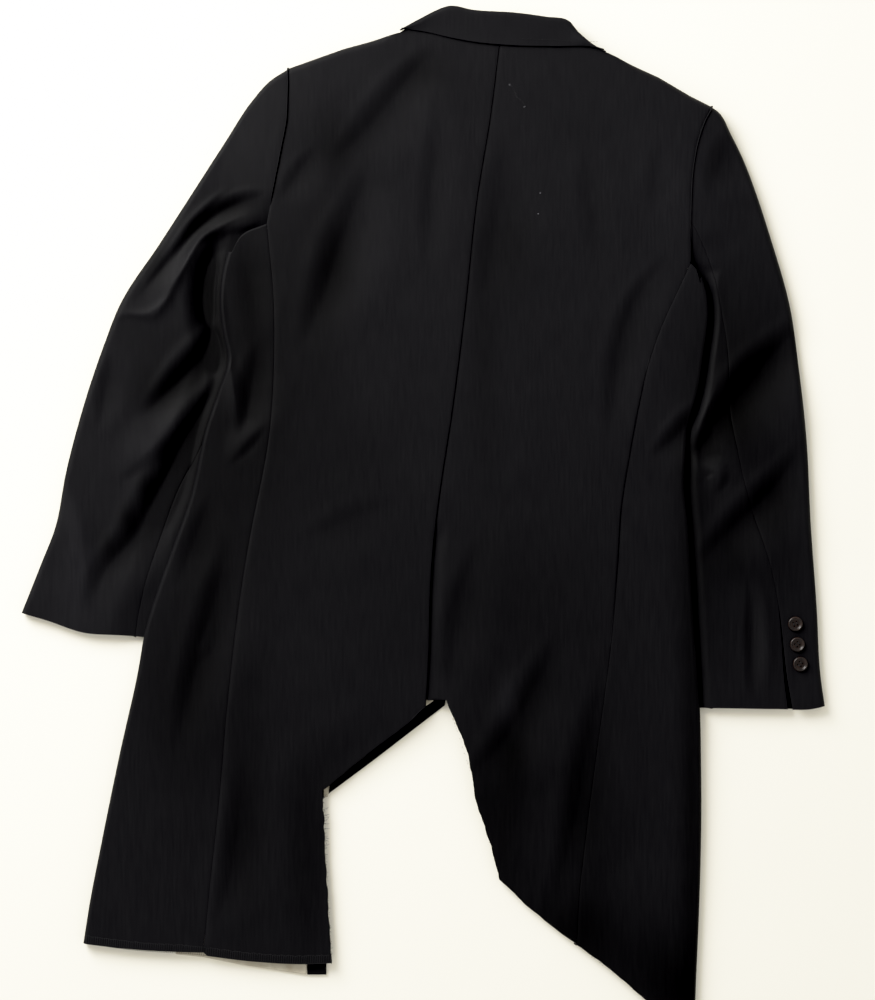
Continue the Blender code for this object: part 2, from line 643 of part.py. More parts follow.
    def build_lapel(self, beside):
        """The folded lapel with the collar's end, flat underneath beside its front."""
        reach = (beside[:, 1] - beside[0, 1]) / (self.lapel_edge[-1][0] - beside[0, 1])
        roll_top, roll_foot = self.lapel_roll
        start = roll_top[0] + LAPEL_INSET
        roll_downs = start + reach * (roll_foot[0] - start)
        inner = at_downs(self.lapel_roll, roll_downs, straight=True)
        edge = beside - np.array([self.side * SEAM, 0.0])
        share = np.linspace(0.0, 1.0, LAPEL_COLUMNS)[None, :, None]
        points = edge[:, None] * (1 - share) + inner[:, None] * share
        heights = np.zeros(points.shape[:2])
        return wall_object(f"lapel_{self.name}", points, heights, -1, CLOTH_COLOUR)


class Sleeve:
    """A two-piece sleeve, a flattened tube from the armhole to its open cuff."""

    def __init__(self, half):
        left = half.side < 0
        self.half = half
        self.side = half.side
        self.outer = SLEEVE_LEFT_OUTER if left else SLEEVE_RIGHT_OUTER
        self.folds = LEFT_SLEEVE_FOLDS if left else RIGHT_SLEEVE_FOLDS
        self.seam_places = SLEEVE_SEAM_LEFT if left else SLEEVE_SEAM_RIGHT
        self.armhole = (half.armhole + half.hidden_armhole)[::-1]
        share = np.linspace(0.0, 1.0, SLEEVE_ROWS)
        self.outer_line = along(self.outer, share)
        hidden = HIDDEN_EDGE_LEFT if left else HIDDEN_EDGE_RIGHT
        tucked = tuple((down, across - self.side * TUCK_WIDTH) for down, across in half.edge[1:])
        top, foot = self.armhole[0][0], half.cuff[0][0]
        self.inner_line = at_downs(hidden + tucked, top + (foot - top) * share**UNDERARM_FAN)
        self.outer_line[0, 0] += self.side * (ARMHOLE_SEAM / 2 + SHOULDER_SEAM)
        self.inner_line[0] = self.armhole[0][::-1]
        self.inner_line[-1] = half.cuff[0][::-1]
        self.width = np.linalg.norm(self.outer_line - self.inner_line, axis=1)[:, None]

    def points(self, shares):
        """Points at shares across each row, from the hidden inner edge to the outer edge."""
        start = along(self.armhole, shares[0])
        at_shoulder = soft_step((shares[0] - 0.9) / 0.1)
        start[:, 0] += self.side * (ARMHOLE_SEAM / 2 + SHOULDER_SEAM * at_shoulder)
        start[shares[0] == 0.0] = self.inner_line[0]
        foot = along(self.half.cuff, shares[-1])
        return spread(self.inner_line, self.outer_line, start, foot, shares)

    def edges(self, shares):
        """How far the rounded edges have risen, and the height in the middle of the tube."""
        from_inner = shares * self.width
        rise = rolled(from_inner, SIDE_ROLL) * rolled((1 - shares) * self.width, SLEEVE_ROLL)
        inner, outer = TUCK_HEIGHT / 2, SLEEVE_EDGE_HEIGHT
        return rise, inner + (outer - inner) * soft_step(from_inner / EDGE_BLEND)

    def upper_height(self, points, shares):
        """The outer face of the upper wall, which dips under the body's side edge."""
        downs = points[..., 1]
        across = self.half.outline(downs)
        outside = self.side * (points[..., 0] - across)
        seam = body_height(np.stack([across, downs], axis=-1))
        tucked = soft_step((downs - self.half.drop[0]) / self.half.drop[1])
        seam = seam - (seam - TUCK_HEIGHT) * tucked
        reach = CROWN_REACH_FREE + (CROWN_REACH_TUCKED - CROWN_REACH_FREE) * tucked
        run = np.linspace(0.0, 1.0, len(points))[:, None]
        crown = SLEEVE_CROWN - (SLEEVE_CROWN - CUFF_CROWN) * soft_step(run)
        height = seam + (crown - seam) * soft_step((outside - TUCK_CLEAR * tucked) / reach)
        height = height - relief(points, self.folds) * soft_step(outside / SLEEVE_FOLD_FADE)
        rise, middle = self.edges(shares)
        return middle + (height - middle) * rise

    def build_piece(self, part, seam, edge_shares, upper_count, lower_count):
        """One piece, from the seam that shows over its edge to the seam underneath."""
        def fill(start, end, count):
            return start + (end - start) * np.linspace(0.0, 1.0, count)[None, :-1]

        over, under = seam
        bend = edge_shares[:, -1:]
        upper = np.concatenate([fill(over, bend, upper_count), edge_shares[:, ::-1]], axis=1)
        lower = np.concatenate([edge_shares[:, 1:], fill(under, bend, lower_count)[:, ::-1]], axis=1)
        upper_points, lower_points = self.points(upper), self.points(lower)
        rise, middle = self.edges(lower)
        return wall_object(
            f"sleeve_{self.half.name}_{part}",
            np.concatenate([upper_points, lower_points], axis=1),
            np.concatenate([self.upper_height(upper_points, upper), middle * (1 - rise)], axis=1),
            1,
            CLOTH_COLOUR,
        )

    def build(self):
        """Both pieces of the sleeve."""
        half_gap = SEAM / 2 / self.width
        run = np.linspace(0.0, 1.0, SLEEVE_ROWS)
        over = smooth_through(*np.asarray(self.seam_places, float).T, run)[:, None]
        under = np.full_like(over, UNDER_SEAM_SHARE)
        steps = np.array(ROLL_STEPS)[None, :]
        outer_edge = 1.0 - steps * SLEEVE_ROLL / self.width
        inner_edge = steps * SIDE_ROLL / self.width
        wide, narrow = SEAM_COLUMNS_LEFT if self.side < 0 else SEAM_COLUMNS_RIGHT
        outward = (over + half_gap, under + half_gap)
        inward = (over - half_gap, under - half_gap)
        self.build_piece("top", outward, outer_edge, wide, UNDER_COLUMNS_TOP)
        self.build_piece("under", inward, inner_edge, narrow, UNDER_COLUMNS_UNDER)


def length_of(table):
    """The length of an outline."""
    return float(np.linalg.norm(np.diff(np.asarray(table, float), axis=0), axis=1).sum())


def neckline(side):
    """The back's neck edge, from the centre seam to the shoulder, just inside the collar's fall."""
    share = np.linspace(0.0, 1.0, COLLAR_COLUMNS)
    centre = np.interp(CENTRE_SEAM[0][1], along(COLLAR_EDGE, share)[:, 0], share)
    end = 0.0 if side < 0 else 1.0
    share = np.linspace(centre, end, NECK_POINTS)
    points = along(COLLAR_EDGE, share) * (1 - NECK_INSET) + along(COLLAR_TOP, share) * NECK_INSET
    return tuple((float(down), float(across)) for across, down in points)


def vent_step(points):
    """How far the right half of the back drops to lie under the left half's vent edge."""
    line = smooth_through(*np.asarray(CENTRE_SEAM, float).T, points[..., 1])
    beside = 1.0 - soft_step((points[..., 0] - line - 1.0) / VENT_WIDTH)
    below = soft_step((points[..., 1] - VENT_TOP + VENT_RUN) / VENT_RUN)
    return (WALL + VENT_GAP) * beside * below


def build_collar():
    """The collar: its fall on the back, rolled over at the top into the stand."""
    share = np.linspace(0.0, 1.0, COLLAR_COLUMNS)
    edge, top = along(COLLAR_EDGE, share), along(COLLAR_TOP, share)
    width = np.linalg.norm(edge - top, axis=1)[:, None]
    roll = np.minimum(COLLAR_ROLL, width * 0.4)
    way = (edge - top) / width
    full = soft_step((width - COLLAR_NARROW) / COLLAR_WIDEN)
    crest = body_height(edge)[:, None] + COLLAR_LIFT + COLLAR_TIP_RISE * (1.0 - full)
    low = crest - COLLAR_TIP_DEPTH - COLLAR_FULL_DEPTH * full
    lines, heights = [], []
    for part in COLLAR_FALL_PARTS:
        line = edge + (top + way * roll - edge) * part
        lines.append(line)
        here = body_height(line)[:, None] + COLLAR_LIFT
        heights.append(here + (crest - here) * part)
    middle = (crest + low) / 2
    for angle in TURN_ANGLES:
        turn = math.radians(angle)
        lines.append(top + way * roll * (1 - math.cos(turn)))
        heights.append(middle + (crest - middle) * math.sin(turn))
    stand_width = width * (1 - NECK_INSET) - COLLAR_ENDS_SHORT - roll
    for part, rise in COLLAR_STAND:
        lines.append(top + way * (roll + stand_width * part))
        heights.append(low + rise * full)
    points = np.stack(lines, axis=1)
    return wall_object("collar", points, np.concatenate(heights, axis=1), 1, CLOTH_COLOUR)


def build_strip(name, top, foot, height, colour, columns):
    """A flat strip of cloth between two lines, lying on the front."""
    share = np.linspace(0.0, 1.0, columns)
    upper, lower = along(top, share, straight=True), along(foot, share, straight=True)
    rows = np.linspace(0.0, 1.0, 3)[:, None, None]
    points = upper[None] * (1 - rows) + lower[None] * rows
    heights = np.full(points.shape[:2], height)
    return wall_object(name, points, heights, 1, colour, LINING_WALL)


def build_button(number, down, across, surface):
    """A rimmed button, turned from its profile and laid on the sleeve."""
    name = f"button_{number}"
    profile = bpy.data.meshes.new(name)
    points = [(radius * MM, 0.0, height * MM) for radius, height in BUTTON_PROFILE]
    profile.from_pydata(points, [(i, i + 1) for i in range(len(points) - 1)], [])
    piece = add_object(name, profile, BUTTON_COLOUR, 0.3)
    turn = piece.modifiers.new("turned", "SCREW")
    turn.steps = BUTTON_SIDES
    turn.render_steps = BUTTON_SIDES
    turn.use_merge_vertices = True
    turn.merge_threshold = 0.00005
    turn.use_smooth_shade = True
    reach = BUTTON_RADIUS
    east, west = surface(across + reach, down), surface(across - reach, down)
    south, north = surface(across, down + reach), surface(across, down - reach)
    centre = max(surface(across, down), (east + west) / 2, (south + north) / 2)
    piece.location = (across * MM, (LENGTH / 2 - down) * MM, (centre + 0.4) * MM)
    piece.rotation_euler = (
        math.atan((north - south) / (2 * reach)),
        -math.atan((east - west) / (2 * reach)),
        0.0,
    )
    return piece


def upper_wall_reader(sleeve):
    """A function that reads the height of a sleeve's upper wall at a place."""
    shares = np.broadcast_to(np.linspace(0.0, 1.0, 61), (SLEEVE_ROWS, 61))
    points = sleeve.points(shares)
    heights = sleeve.upper_height(points, shares)

    def read(across, down):
        gap = np.hypot(points[..., 0] - across, points[..., 1] - down)
        weight = 1.0 / (gap + 0.5) ** 4
        return float((heights * weight).sum() / weight.sum())

    return read


def build_blazer():
    """Every piece, from the body to the smallest trim."""
    sleeves = []
    for name in ("left", "right"):
        half = Half(name)
        half.build_back()
        half.build_side()
        half.build_front()
        sleeves.append(Sleeve(half))
        sleeves[-1].build()
    build_collar()
    on_front = WALL + LAP + LINING_WALL
    build_strip("lining_hem", LINING_HEM_TOP, LINING_HEM_FOOT, on_front, LINING_COLOUR, 7)
    build_strip("facing_tab", FACING_TAB_TOP, FACING_TAB_FOOT, on_front, CLOTH_COLOUR, 3)
    build_strip("lining_cut", LINING_CUT_TOP, LINING_CUT_FOOT, on_front, LINING_COLOUR, 5)
    surface = upper_wall_reader(sleeves[1])
    for number, (down, across) in enumerate(BUTTONS, start=1):
        build_button(number, down, across, surface)


for old in list(bpy.data.objects):
    bpy.data.objects.remove(old, do_unlink=True)

BLAZER = bpy.data.collections.new("cutout_blazer")
bpy.context.scene.collection.children.link(BLAZER)
ORIGIN = bpy.data.objects.new("blazer_origin", None)
BLAZER.objects.link(ORIGIN)

build_blazer()
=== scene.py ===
"""Looks of the cutout blazer: its cloth, seams, stitches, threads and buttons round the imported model.

The blazer lies on its front with its back up and is seen from straight above.  The tables are in
millimetres: down runs from the top of the collar towards the hems, across runs to the right of the
middle, and heights run up from the surface that the blazer lies on.
"""
import logging
import math
from dataclasses import dataclass
from enum import Enum
from typing import Callable, Sequence

import bmesh
import bpy
import numpy as np
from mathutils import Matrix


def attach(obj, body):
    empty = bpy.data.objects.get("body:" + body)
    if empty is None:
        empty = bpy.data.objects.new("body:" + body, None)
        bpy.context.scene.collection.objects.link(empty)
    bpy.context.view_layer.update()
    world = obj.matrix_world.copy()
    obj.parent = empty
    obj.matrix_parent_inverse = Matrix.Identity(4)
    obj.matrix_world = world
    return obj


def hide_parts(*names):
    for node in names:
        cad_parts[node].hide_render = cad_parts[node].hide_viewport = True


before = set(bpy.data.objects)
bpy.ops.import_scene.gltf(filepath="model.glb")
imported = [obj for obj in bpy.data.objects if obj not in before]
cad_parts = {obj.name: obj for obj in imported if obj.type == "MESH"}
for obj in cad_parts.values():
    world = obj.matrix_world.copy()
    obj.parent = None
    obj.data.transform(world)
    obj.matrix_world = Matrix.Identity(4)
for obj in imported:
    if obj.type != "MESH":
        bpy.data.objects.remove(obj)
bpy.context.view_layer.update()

LOG = logging.getLogger("cutout_blazer")
# The point attribute of painted shade, which darkens the wool's colour in fold troughs and shaded
# patches and lightens it on ridges
PAINTED_SHADE_NAME = "painted_shade"

Array = np.ndarray
Table = tuple[tuple[float, ...], ...]
Colour = tuple[float, float, float]

MM = 0.001
TINY = 1e-12
FINE_PLACES = 8
LENGTH = 1050.4
WALL = 1.3
LINING_WALL = 1.1
EDGE_BULGE = 0.12
SEAM = 0.14
ARMHOLE_SEAM = 0.7
SHOULDER_SEAM = 1.1
LAP = 0.4

# The cells of the fine grids, and the closer steps beside seams and edges
CELL = 3.0
SLEEVE_CELL = 2.4
HIDDEN_CELL = 8.0
LEAST_COLUMNS = 4
CORNER_STEP = 0.3
ROW_SLACK = 0.01
CORNER_RUN = 80.0
SEAM_CLOSES = 14.0
SEAM_CLOSES_BY = 1.5
SEAM_STEPS = (0.0, 0.2, 0.8, 2.0, 4.0)
NEAR_SHARE = 0.3
STATION_CLEAR = 0.4

# How deep and wide the cloth dips beside a seam, and beside the vent's edge
DIP_DEPTH = 0.38
DIP_WIDTH = 1.3
VENT_DIP = 0.25

# The rounded edges, in plan
SHOULDER_ROLL = 7.0
SIDE_ROLL = 4.5
SLEEVE_ROLL = 6.0
COLLAR_ROLL = 5.0
ROLL_STEPS = (0.0, 0.04, 0.13, 0.28, 0.5, 0.75, 1.0)
PAST_ROLL = 1.35
PAST_HIDDEN_ROLL = 1.6
TURN_ANGLES = (72, 54, 36, 18, 0, -18, -36, -54, -72, -90)

# The sleeves' hidden edges lie under the body, which is lifted over them
TUCK_WIDTH = 22.0
TUCK_HEIGHT = 6.4
UNDERARM_FAN = 1.7
SLEEVE_CROWN = 14.5
CUFF_CROWN = 10.5
SLEEVE_EDGE_HEIGHT = 5.6
SIDE_LIFT = 6.9
SIDE_ROLL_SHARE = 0.3
RETURN_WIDTH = 32.0
RETURN_SHARE = 0.8
RETURN_PARTS = (0.3, 0.6, 1.0)
FRONT_RAMP = 34.0
FRONT_SEAM = 0.6
LIFT_RISE = 34.0
LIFT_FALL = 55.0
PAST_CUFF = 8.0
SIDE_LIFT_TOP = 200.0
SIDE_LOWEST = 7.6
SIDE_LOWEST_LIFTED = 11.0
TAIL_STEP = 22.0
UNDER_SEAM_SHARE = 0.55
SHOULDER_FROM = 0.9
SHOULDER_OVER = 0.1
EDGE_BLEND = 60.0
CROWN_REACH_FREE = 62.0
SLEEVE_FOLD_FADE = 16.0
SHOULDER_SEAM_HEIGHT = 8.0
NECK_CLEAR = 8.0
NECK_BLEND = 30.0
HEM_BOW = 2.0
VENT_TOP = 546.0
VENT_UNDERLAP = 5.0
VENT_GAP = 1.0
VENT_RUN = 26.0
UNDERLAP_START = 14.0
UNDERLAP_RUN = 30.0
VENT_WIDTH = 14.0
TAIL_CORNER_INNER = 0.12
TAIL_CORNER_ROWS = 10
BACK_HEM_SHARE = 0.5

# The fronts underneath
FRONT_LAP = 12.0
LAP_CLEAR = 8.0
LAP_RAMP = 26.0
LAP_TOP = 275.0
LAP_RISE = 14.0
LAP_SHORT = {"left": 25.0, "right": 50.0}

# The rows of the fronts that stand at the corners of their cut edges, each a run of rows
FRONT_CORNERS = {"left": ((713,), (802, 811)), "right": ()}
LAPEL_LEVEL = 300.0
LAPEL_INSET = 6.0
LAPEL_COLUMNS = 8
ARMHOLE_ROWS_END = 40.0
FRONT_ROW_STEP = 2
FRONT_FOOT_LEFT = 970.0
FRONT_FOOT_RIGHT = 1000.0

# The collar
NECK_INSET = 0.12
NECK_POINTS = 25
NECK_TUCK = 1.2
COLLAR_LIFT = 2.4
COLLAR_TIP_RISE = 1.4
COLLAR_TIP_DEPTH = 3.4
COLLAR_FULL_DEPTH = 4.8
COLLAR_NARROW = 8.0
COLLAR_WIDEN = 16.0
COLLAR_ENDS_SHORT = 1.2
COLLAR_EDGE_PARTS = (0.0, 0.02, 0.05, 0.1)

# The stand under the fall, each row: share of its width, rise above the fall's lower face
STAND_RISE: Table = ((0.2, 0.25), (0.45, 0.6), (0.7, 1.4), (1.0, 2.6))

# Outlines and seams, each row (down, across)
CENTRE_SEAM: Table = (
    (33, 78), (58, 75), (107, 69), (201, 54), (305, 43), (409, 30), (503, 16), (554, 10),
    (605, 7), (656, 6), (713, 3),
)
CUT_TAIL: Table = ((957, 157), (984, 194), (1013, 227), (1050, 276))
TAIL_CUT_DOWNS = (980.0, 1003.0, 1026.0, 1046.0)
TAIL_EDGE_DOWNS = (1000.0, 1020.0, 1037.0, 1050.0)
HEM_LEFT: Table = ((975, -93), (976, -119), (973, -176), (966, -234), (962, -293), (955, -347))
COLLAR_EDGE: Table = (
    (24, -19), (28, 7), (32, 23), (37, 49), (41, 92), (42, 133), (43, 172), (45, 180),
)
COLLAR_TOP: Table = (
    (25, -24), (15, -6), (5, 12), (0, 26), (4, 51), (7, 95), (11, 125), (15, 148), (28, 159),
    (42, 176), (47, 186),
)

# The back's height above the surface, each row (down, height)
BODY_HEIGHT: Table = (
    (0, 14.5), (60, 16.5), (160, 17.0), (300, 16.5), (500, 15.0), (700, 13.5), (850, 11.5),
    (970, 10.5), (1060, 10.0),
)

# The shoulder pads, each row: down, across, rise
SHOULDER_PADS: Table = ((100, -100, 3.0), (135, 255, 3.0))
PAD_REACH = 60.0

# How a fold fades: the share of its length that it fades over, and how wide it is at its tips.
# How far it is felt, in its half widths, and how sharp a crease is at its ridge and beside it.
FOLD_FADE = 0.46
FOLD_TIP = 0.55
FOLD_REACH = 3.2
CREASE_SOFTNESS = 0.02
CREASE_FALL = 1.5

# How far the cloth rises beside a trough, where and how wide, in its half widths, and the lowest
# that a sleeve sinks
FLANK_RISE = 0.2
FLANK_PLACE = 1.9
FLANK_WIDTH = 0.75
SLEEVE_LOWEST = 3.4

# Painted shade: how much darker the wool's colour is painted in a trough of a depth, lighter on a
# ridge, and in shaded patches (below 0, painted light), each row: down, across, reach down, reach
# across, share taken
TROUGH_PAINTED_SHADE = 0.4
TROUGH_DEPTH = 6.0
RIDGE_PAINTED_LIGHT = -0.6
PAINTED_SHADE_PARTS: Table = (
    (330, -172, 150, 45, 0.42), (290, -110, 130, 34, 0.34), (700, -230, 120, 45, 0.28),
    (520, -200, 110, 45, 0.34), (330, -280, 60, 50, 0.2), (215, -225, 40, 40, 0.2),
    (830, 165, 95, 34, 0.45), (810, -177, 130, 24, 0.3), (880, -122, 110, 20, 0.3),
    (800, 85, 85, 36, 0.5), (985, 245, 60, 60, 0.5), (820, 274, 300, 13, 0.5),
    (380, 322, 95, 50, 0.62), (480, -90, 110, 70, 0.2), (300, -262, 45, 36, 0.22),
    (420, -165, 90, 30, 0.25), (303, -218, 40, 16, 0.45), (400, -228, 75, 34, 0.4),
    (620, 110, 120, 80, 0.22), (600, -355, 50, 30, -0.3), (760, 185, 120, 40, 0.08),
    (575, 282, 95, 28, 0.4), (560, 350, 120, 42, 0.28), (185, 262, 80, 50, -0.22),
    (330, 62, 130, 17, 0.26), (800, -40, 330, 330, 0.14), (600, 50, 60, 60, 0.12),
    (458, -262, 18, 10, 0.4), (490, -282, 18, 10, 0.5), (520, -303, 18, 10, 0.5),
    (548, -322, 18, 10, 0.4), (445, 294, 22, 14, 0.4), (206, -200, 12, 22, 0.35),
    (426, 318, 24, 20, 0.5), (474, 272, 45, 14, 0.4), (562, 315, 28, 20, 0.4),
    (514, 360, 40, 20, 0.3), (940, 165, 40, 40, 0.45), (1005, 262, 35, 25, 0.4),
    (719, 88, 28, 12, -0.9), (760, 92, 28, 14, 0.5), (66, 0, 22, 30, 0.35), (145, -88, 35, 25, 0.4),
    (265, -90, 45, 20, 0.42), (300, -176, 60, 22, 0.35), (255, -276, 26, 16, 0.45),
    (222, -228, 12, 18, 0.35), (391, -272, 28, 26, 0.45), (310, -265, 22, 22, -0.4),
    (554, -226, 60, 24, 0.35), (690, -255, 90, 40, 0.3), (250, 92, 50, 22, 0.3),
)

# The way towards the window in plan, as (across, down)
LIGHT_WAY = (-0.66, -0.75)
LIT_FROM = 0.3
PATH_STEPS = 6

# The unevenness of the cloth, of cut edges, of the collar and of the lining strips, each row: how
# wide its swells are, how high
SWELLS: Table = ((150.0, 0.55), (62.0, 0.32), (27.0, 0.12), (11.0, 0.04))
EDGE_SWELLS: Table = ((9.0, 0.7), (3.1, 0.35))
COLLAR_SWELLS: Table = ((46.0, 0.35), (17.0, 0.12))
STRIP_SWELLS: Table = ((13.0, 1.0), (6.0, 0.5))

# The raw edge of the left tail beside the cut
LEFT_TAIL_CUT: Table = ((799, -102), (857, -100), (926, -96), (975, -93))

# The linings and facing that show past the back's edges, each row (down, across)
LINING_HEM_TOP: Table = ((945, -253), (955, -119.5))
LINING_HEM_FOOT: Table = ((967, -253), (970, -225), (978, -185), (988, -119.5))
FACING_TAB_TOP: Table = ((955, -118.5), (956, -99))
FACING_TAB_FOOT: Table = ((988, -118.5), (988, -99))
LINING_CUT_TOP: Table = ((782, -101.5), (752, -60), (703, -2))
LINING_CUT_FOOT: Table = (
    (807, -101.5), (806, -97), (795, -96.2), (783, -84.5), (760, -58), (727, -15.5), (714.5, 1),
    (708, 10.5),
)

# The buttons of the right cuff, each row (down, across)
BUTTONS: Table = ((629, 379), (650, 381), (670, 384))

# How a sleeve's height is read: columns across it, and how near points weigh
READ_COLUMNS = 121
READ_NEAR = 0.2
READ_POWER = 5

# A frayed yarn: its points, how it turns and bends, where it starts, its rise and its fall
YARN_POINTS = 7
YARN_TURN = 0.5
YARN_BEND = 0.9
YARN_START = (0.4, 1.2)
YARN_RISE = 0.5
YARN_FALL = (0.5, 2.5)
YARN_LOWEST = 0.3

ROOM_LIGHT: Colour = (1.0, 0.985, 0.95)


class Side(Enum):
    """A side of the blazer as seen from above. Its value is the way outwards."""

    LEFT = -1
    RIGHT = 1


class Facing(Enum):
    """Which way the outer face of a panel's first columns looks."""

    UP = 1
    DOWN = -1


class Profile(Enum):
    """The shape of a fold across its run."""

    SOFT = "soft"
    CREASE = "crease"


def soft_step(value: Array | float) -> Array:
    """0 below 0, 1 above 1 and an even S between."""
    value = np.clip(value, 0.0, 1.0)
    return value * value * (3.0 - 2.0 * value)


def smooth_through(knots: Sequence[float], values: Sequence[float], at: Array) -> Array:
    """Read a smooth curve through values at rising knots.

    Args:
        knots: where the values stand, rising.
        values: the values there.
        at: where to read the curve.

    Returns:
        The curve's value at each place.
    """
    knots = np.asarray(knots, float)
    values = np.asarray(values, float)
    at = np.clip(np.asarray(at, float), knots[0], knots[-1])
    steps = np.diff(knots)
    chords = np.diff(values) / steps
    slopes = np.empty_like(values)
    slopes[0], slopes[-1] = chords[0], chords[-1]
    slopes[1:-1] = (chords[:-1] * steps[1:] + chords[1:] * steps[:-1]) / (steps[1:] + steps[:-1])
    low = np.clip(np.searchsorted(knots, at, side="right") - 1, 0, len(knots) - 2)
    span = steps[low]
    t = (at - knots[low]) / span
    return (
        (1 + 2 * t) * (1 - t) ** 2 * values[low]
        + t * (1 - t) ** 2 * span * slopes[low]
        + t * t * (3 - 2 * t) * values[low + 1]
        - t * t * (1 - t) * span * slopes[low + 1]
    )


def smooth_at(table: Table, places: Array) -> Array:
    """Read a table's second column at places in its first one, on a smooth curve."""
    return smooth_through(*np.asarray(table, float).T, places)


def straight_at(table: Table, places: Array) -> Array:
    """Read a table's second column at places in its first one, on straight lines."""
    return np.interp(places, *np.asarray(table, float).T)


def at_downs(table: Table, downs: Array, straight: bool = False) -> Array:
    """Points (across, down) of an outline at the given distances down."""
    across = (straight_at if straight else smooth_at)(table, downs)
    return np.stack([across, np.asarray(downs, float)], axis=1)


def run_of(points: Array) -> Array:
    """How far along a line each of its points lies."""
    return np.concatenate([[0.0], np.cumsum(np.linalg.norm(np.diff(points, axis=0), axis=1))])


def unit(vectors: Array) -> Array:
    """The vectors at a length of one."""
    return vectors / np.maximum(np.linalg.norm(vectors, axis=-1, keepdims=True), TINY)


def along(table: Table, shares: Array, straight: bool = False) -> Array:
    """Points (across, down) at shares of an outline's length.

    Args:
        table: the outline, each row (down, across).
        shares: shares of its length, from 0 to 1.
        straight: whether its parts are straight, not curved.

    Returns:
        The points, one for each share.
    """
    points = np.asarray(table, float)[:, ::-1]
    run = run_of(points)
    at = np.asarray(shares, float) * run[-1]
    read = straight_at if straight else smooth_at
    return np.stack([read(np.stack([run, column], axis=1), at) for column in points.T], axis=1)


def length_of(table: Table) -> float:
    """The length of an outline."""
    return float(np.linalg.norm(np.diff(np.asarray(table, float), axis=0), axis=1).sum())


def side_normals(points: Array) -> Array:
    """Unit normals in plan, to the right of the way the points run."""
    way = unit(np.gradient(points, axis=0))
    return np.stack([-way[:, 1], way[:, 0]], axis=1)


def moved(points: Array, distance: Array | float) -> Array:
    """The points moved sideways in plan by a distance."""
    return points + side_normals(points) * distance


def spread(left: Array, right: Array, top: Array, foot: Array, shares: Array) -> Array:
    """Fill four edges with points.

    Args:
        left: one point for each row.
        right: one point for each row.
        top: one point for each column.
        foot: one point for each column.
        shares: each column's place between left and right, as one row or one for each row.

    Returns:
        Points (across, down) by row and column.
    """
    rows = len(left)
    run = run_of((left + right) / 2)
    v = (run / run[-1])[:, None, None]
    u = np.broadcast_to(np.asarray(shares, float), (rows, len(top)))[:, :, None]
    across = (1 - u) * left[:, None, :] + u * right[:, None, :]
    u_top, u_foot = u[0], u[-1]
    top_bow = top - ((1 - u_top) * left[0] + u_top * right[0])
    foot_bow = foot - ((1 - u_foot) * left[-1] + u_foot * right[-1])
    return across + (1 - v) * top_bow[None] + v * foot_bow[None]


def stations(start: float, end: float, step: float, extra: Sequence[float] = ()) -> Array:
    """Distances from start to end in even steps near a step, with extra ones put in.

    Args:
        start: the first distance.
        end: the last one.
        step: about how long a step is.
        extra: distances that are always among them.

    Returns:
        The distances, rising.
    """
    count = max(2, round((end - start) / step) + 1)
    places = list(np.linspace(start, end, count))
    for place in extra:
        places = [p for p in places if abs(p - place) > step * STATION_CLEAR or p in (start, end)]
        places.append(place)
    return np.array(sorted(places))


def close_ends(start: float, end: float, step: float, extra: Sequence[float] = ()) -> Array:
    """Stations that stand closer together beside both ends.

    Args:
        start: the first distance.
        end: the last one.
        step: about how long a step between them is.
        extra: distances that are always among them.

    Returns:
        The distances, rising.
    """
    near = np.array(SEAM_STEPS)
    body = stations(start + near[-1], end - near[-1], step, extra)
    return np.concatenate([start + near[:-1], body, end - near[-2::-1]])


def columns_over(width: Array, cell: float) -> int:
    """How many even columns cover the widest row."""
    return max(LEAST_COLUMNS, round(float(width.max()) / cell))


def seam_shares(width: Array, cell: float, jump: Array | float = 0.0) -> Array:
    """Shares across each row, closer together beside both seams.

    Args:
        width: how wide each row is.
        cell: the width of the even columns between.
        jump: how much further in the even columns start on each row.

    Returns:
        The shares by row and column.
    """
    count = columns_over(width, cell)
    steps = np.array(SEAM_STEPS)
    near = np.minimum(steps[None, :] / width[:, None], steps[None, :] / steps[-1] * NEAR_SHARE)
    first = near * (1.0 + np.broadcast_to(jump, width.shape)[:, None] / steps[-1])
    start, end = first[:, -1:], 1 - near[:, -1:]
    inner = start + (end - start) * np.linspace(0.0, 1.0, count)[None, 1:-1]
    return np.concatenate([first, inner, 1 - near[:, ::-1]], axis=1)


def rolled(distance: Array, roll: Array | float) -> Array:
    """How far a rounded edge has risen, from 0 on the outline to 1 at the roll's width."""
    inner = 1.0 - np.clip(distance / roll, 0.0, 1.0)
    return np.sqrt(np.clip(1.0 - inner * inner, 0.0, 1.0))


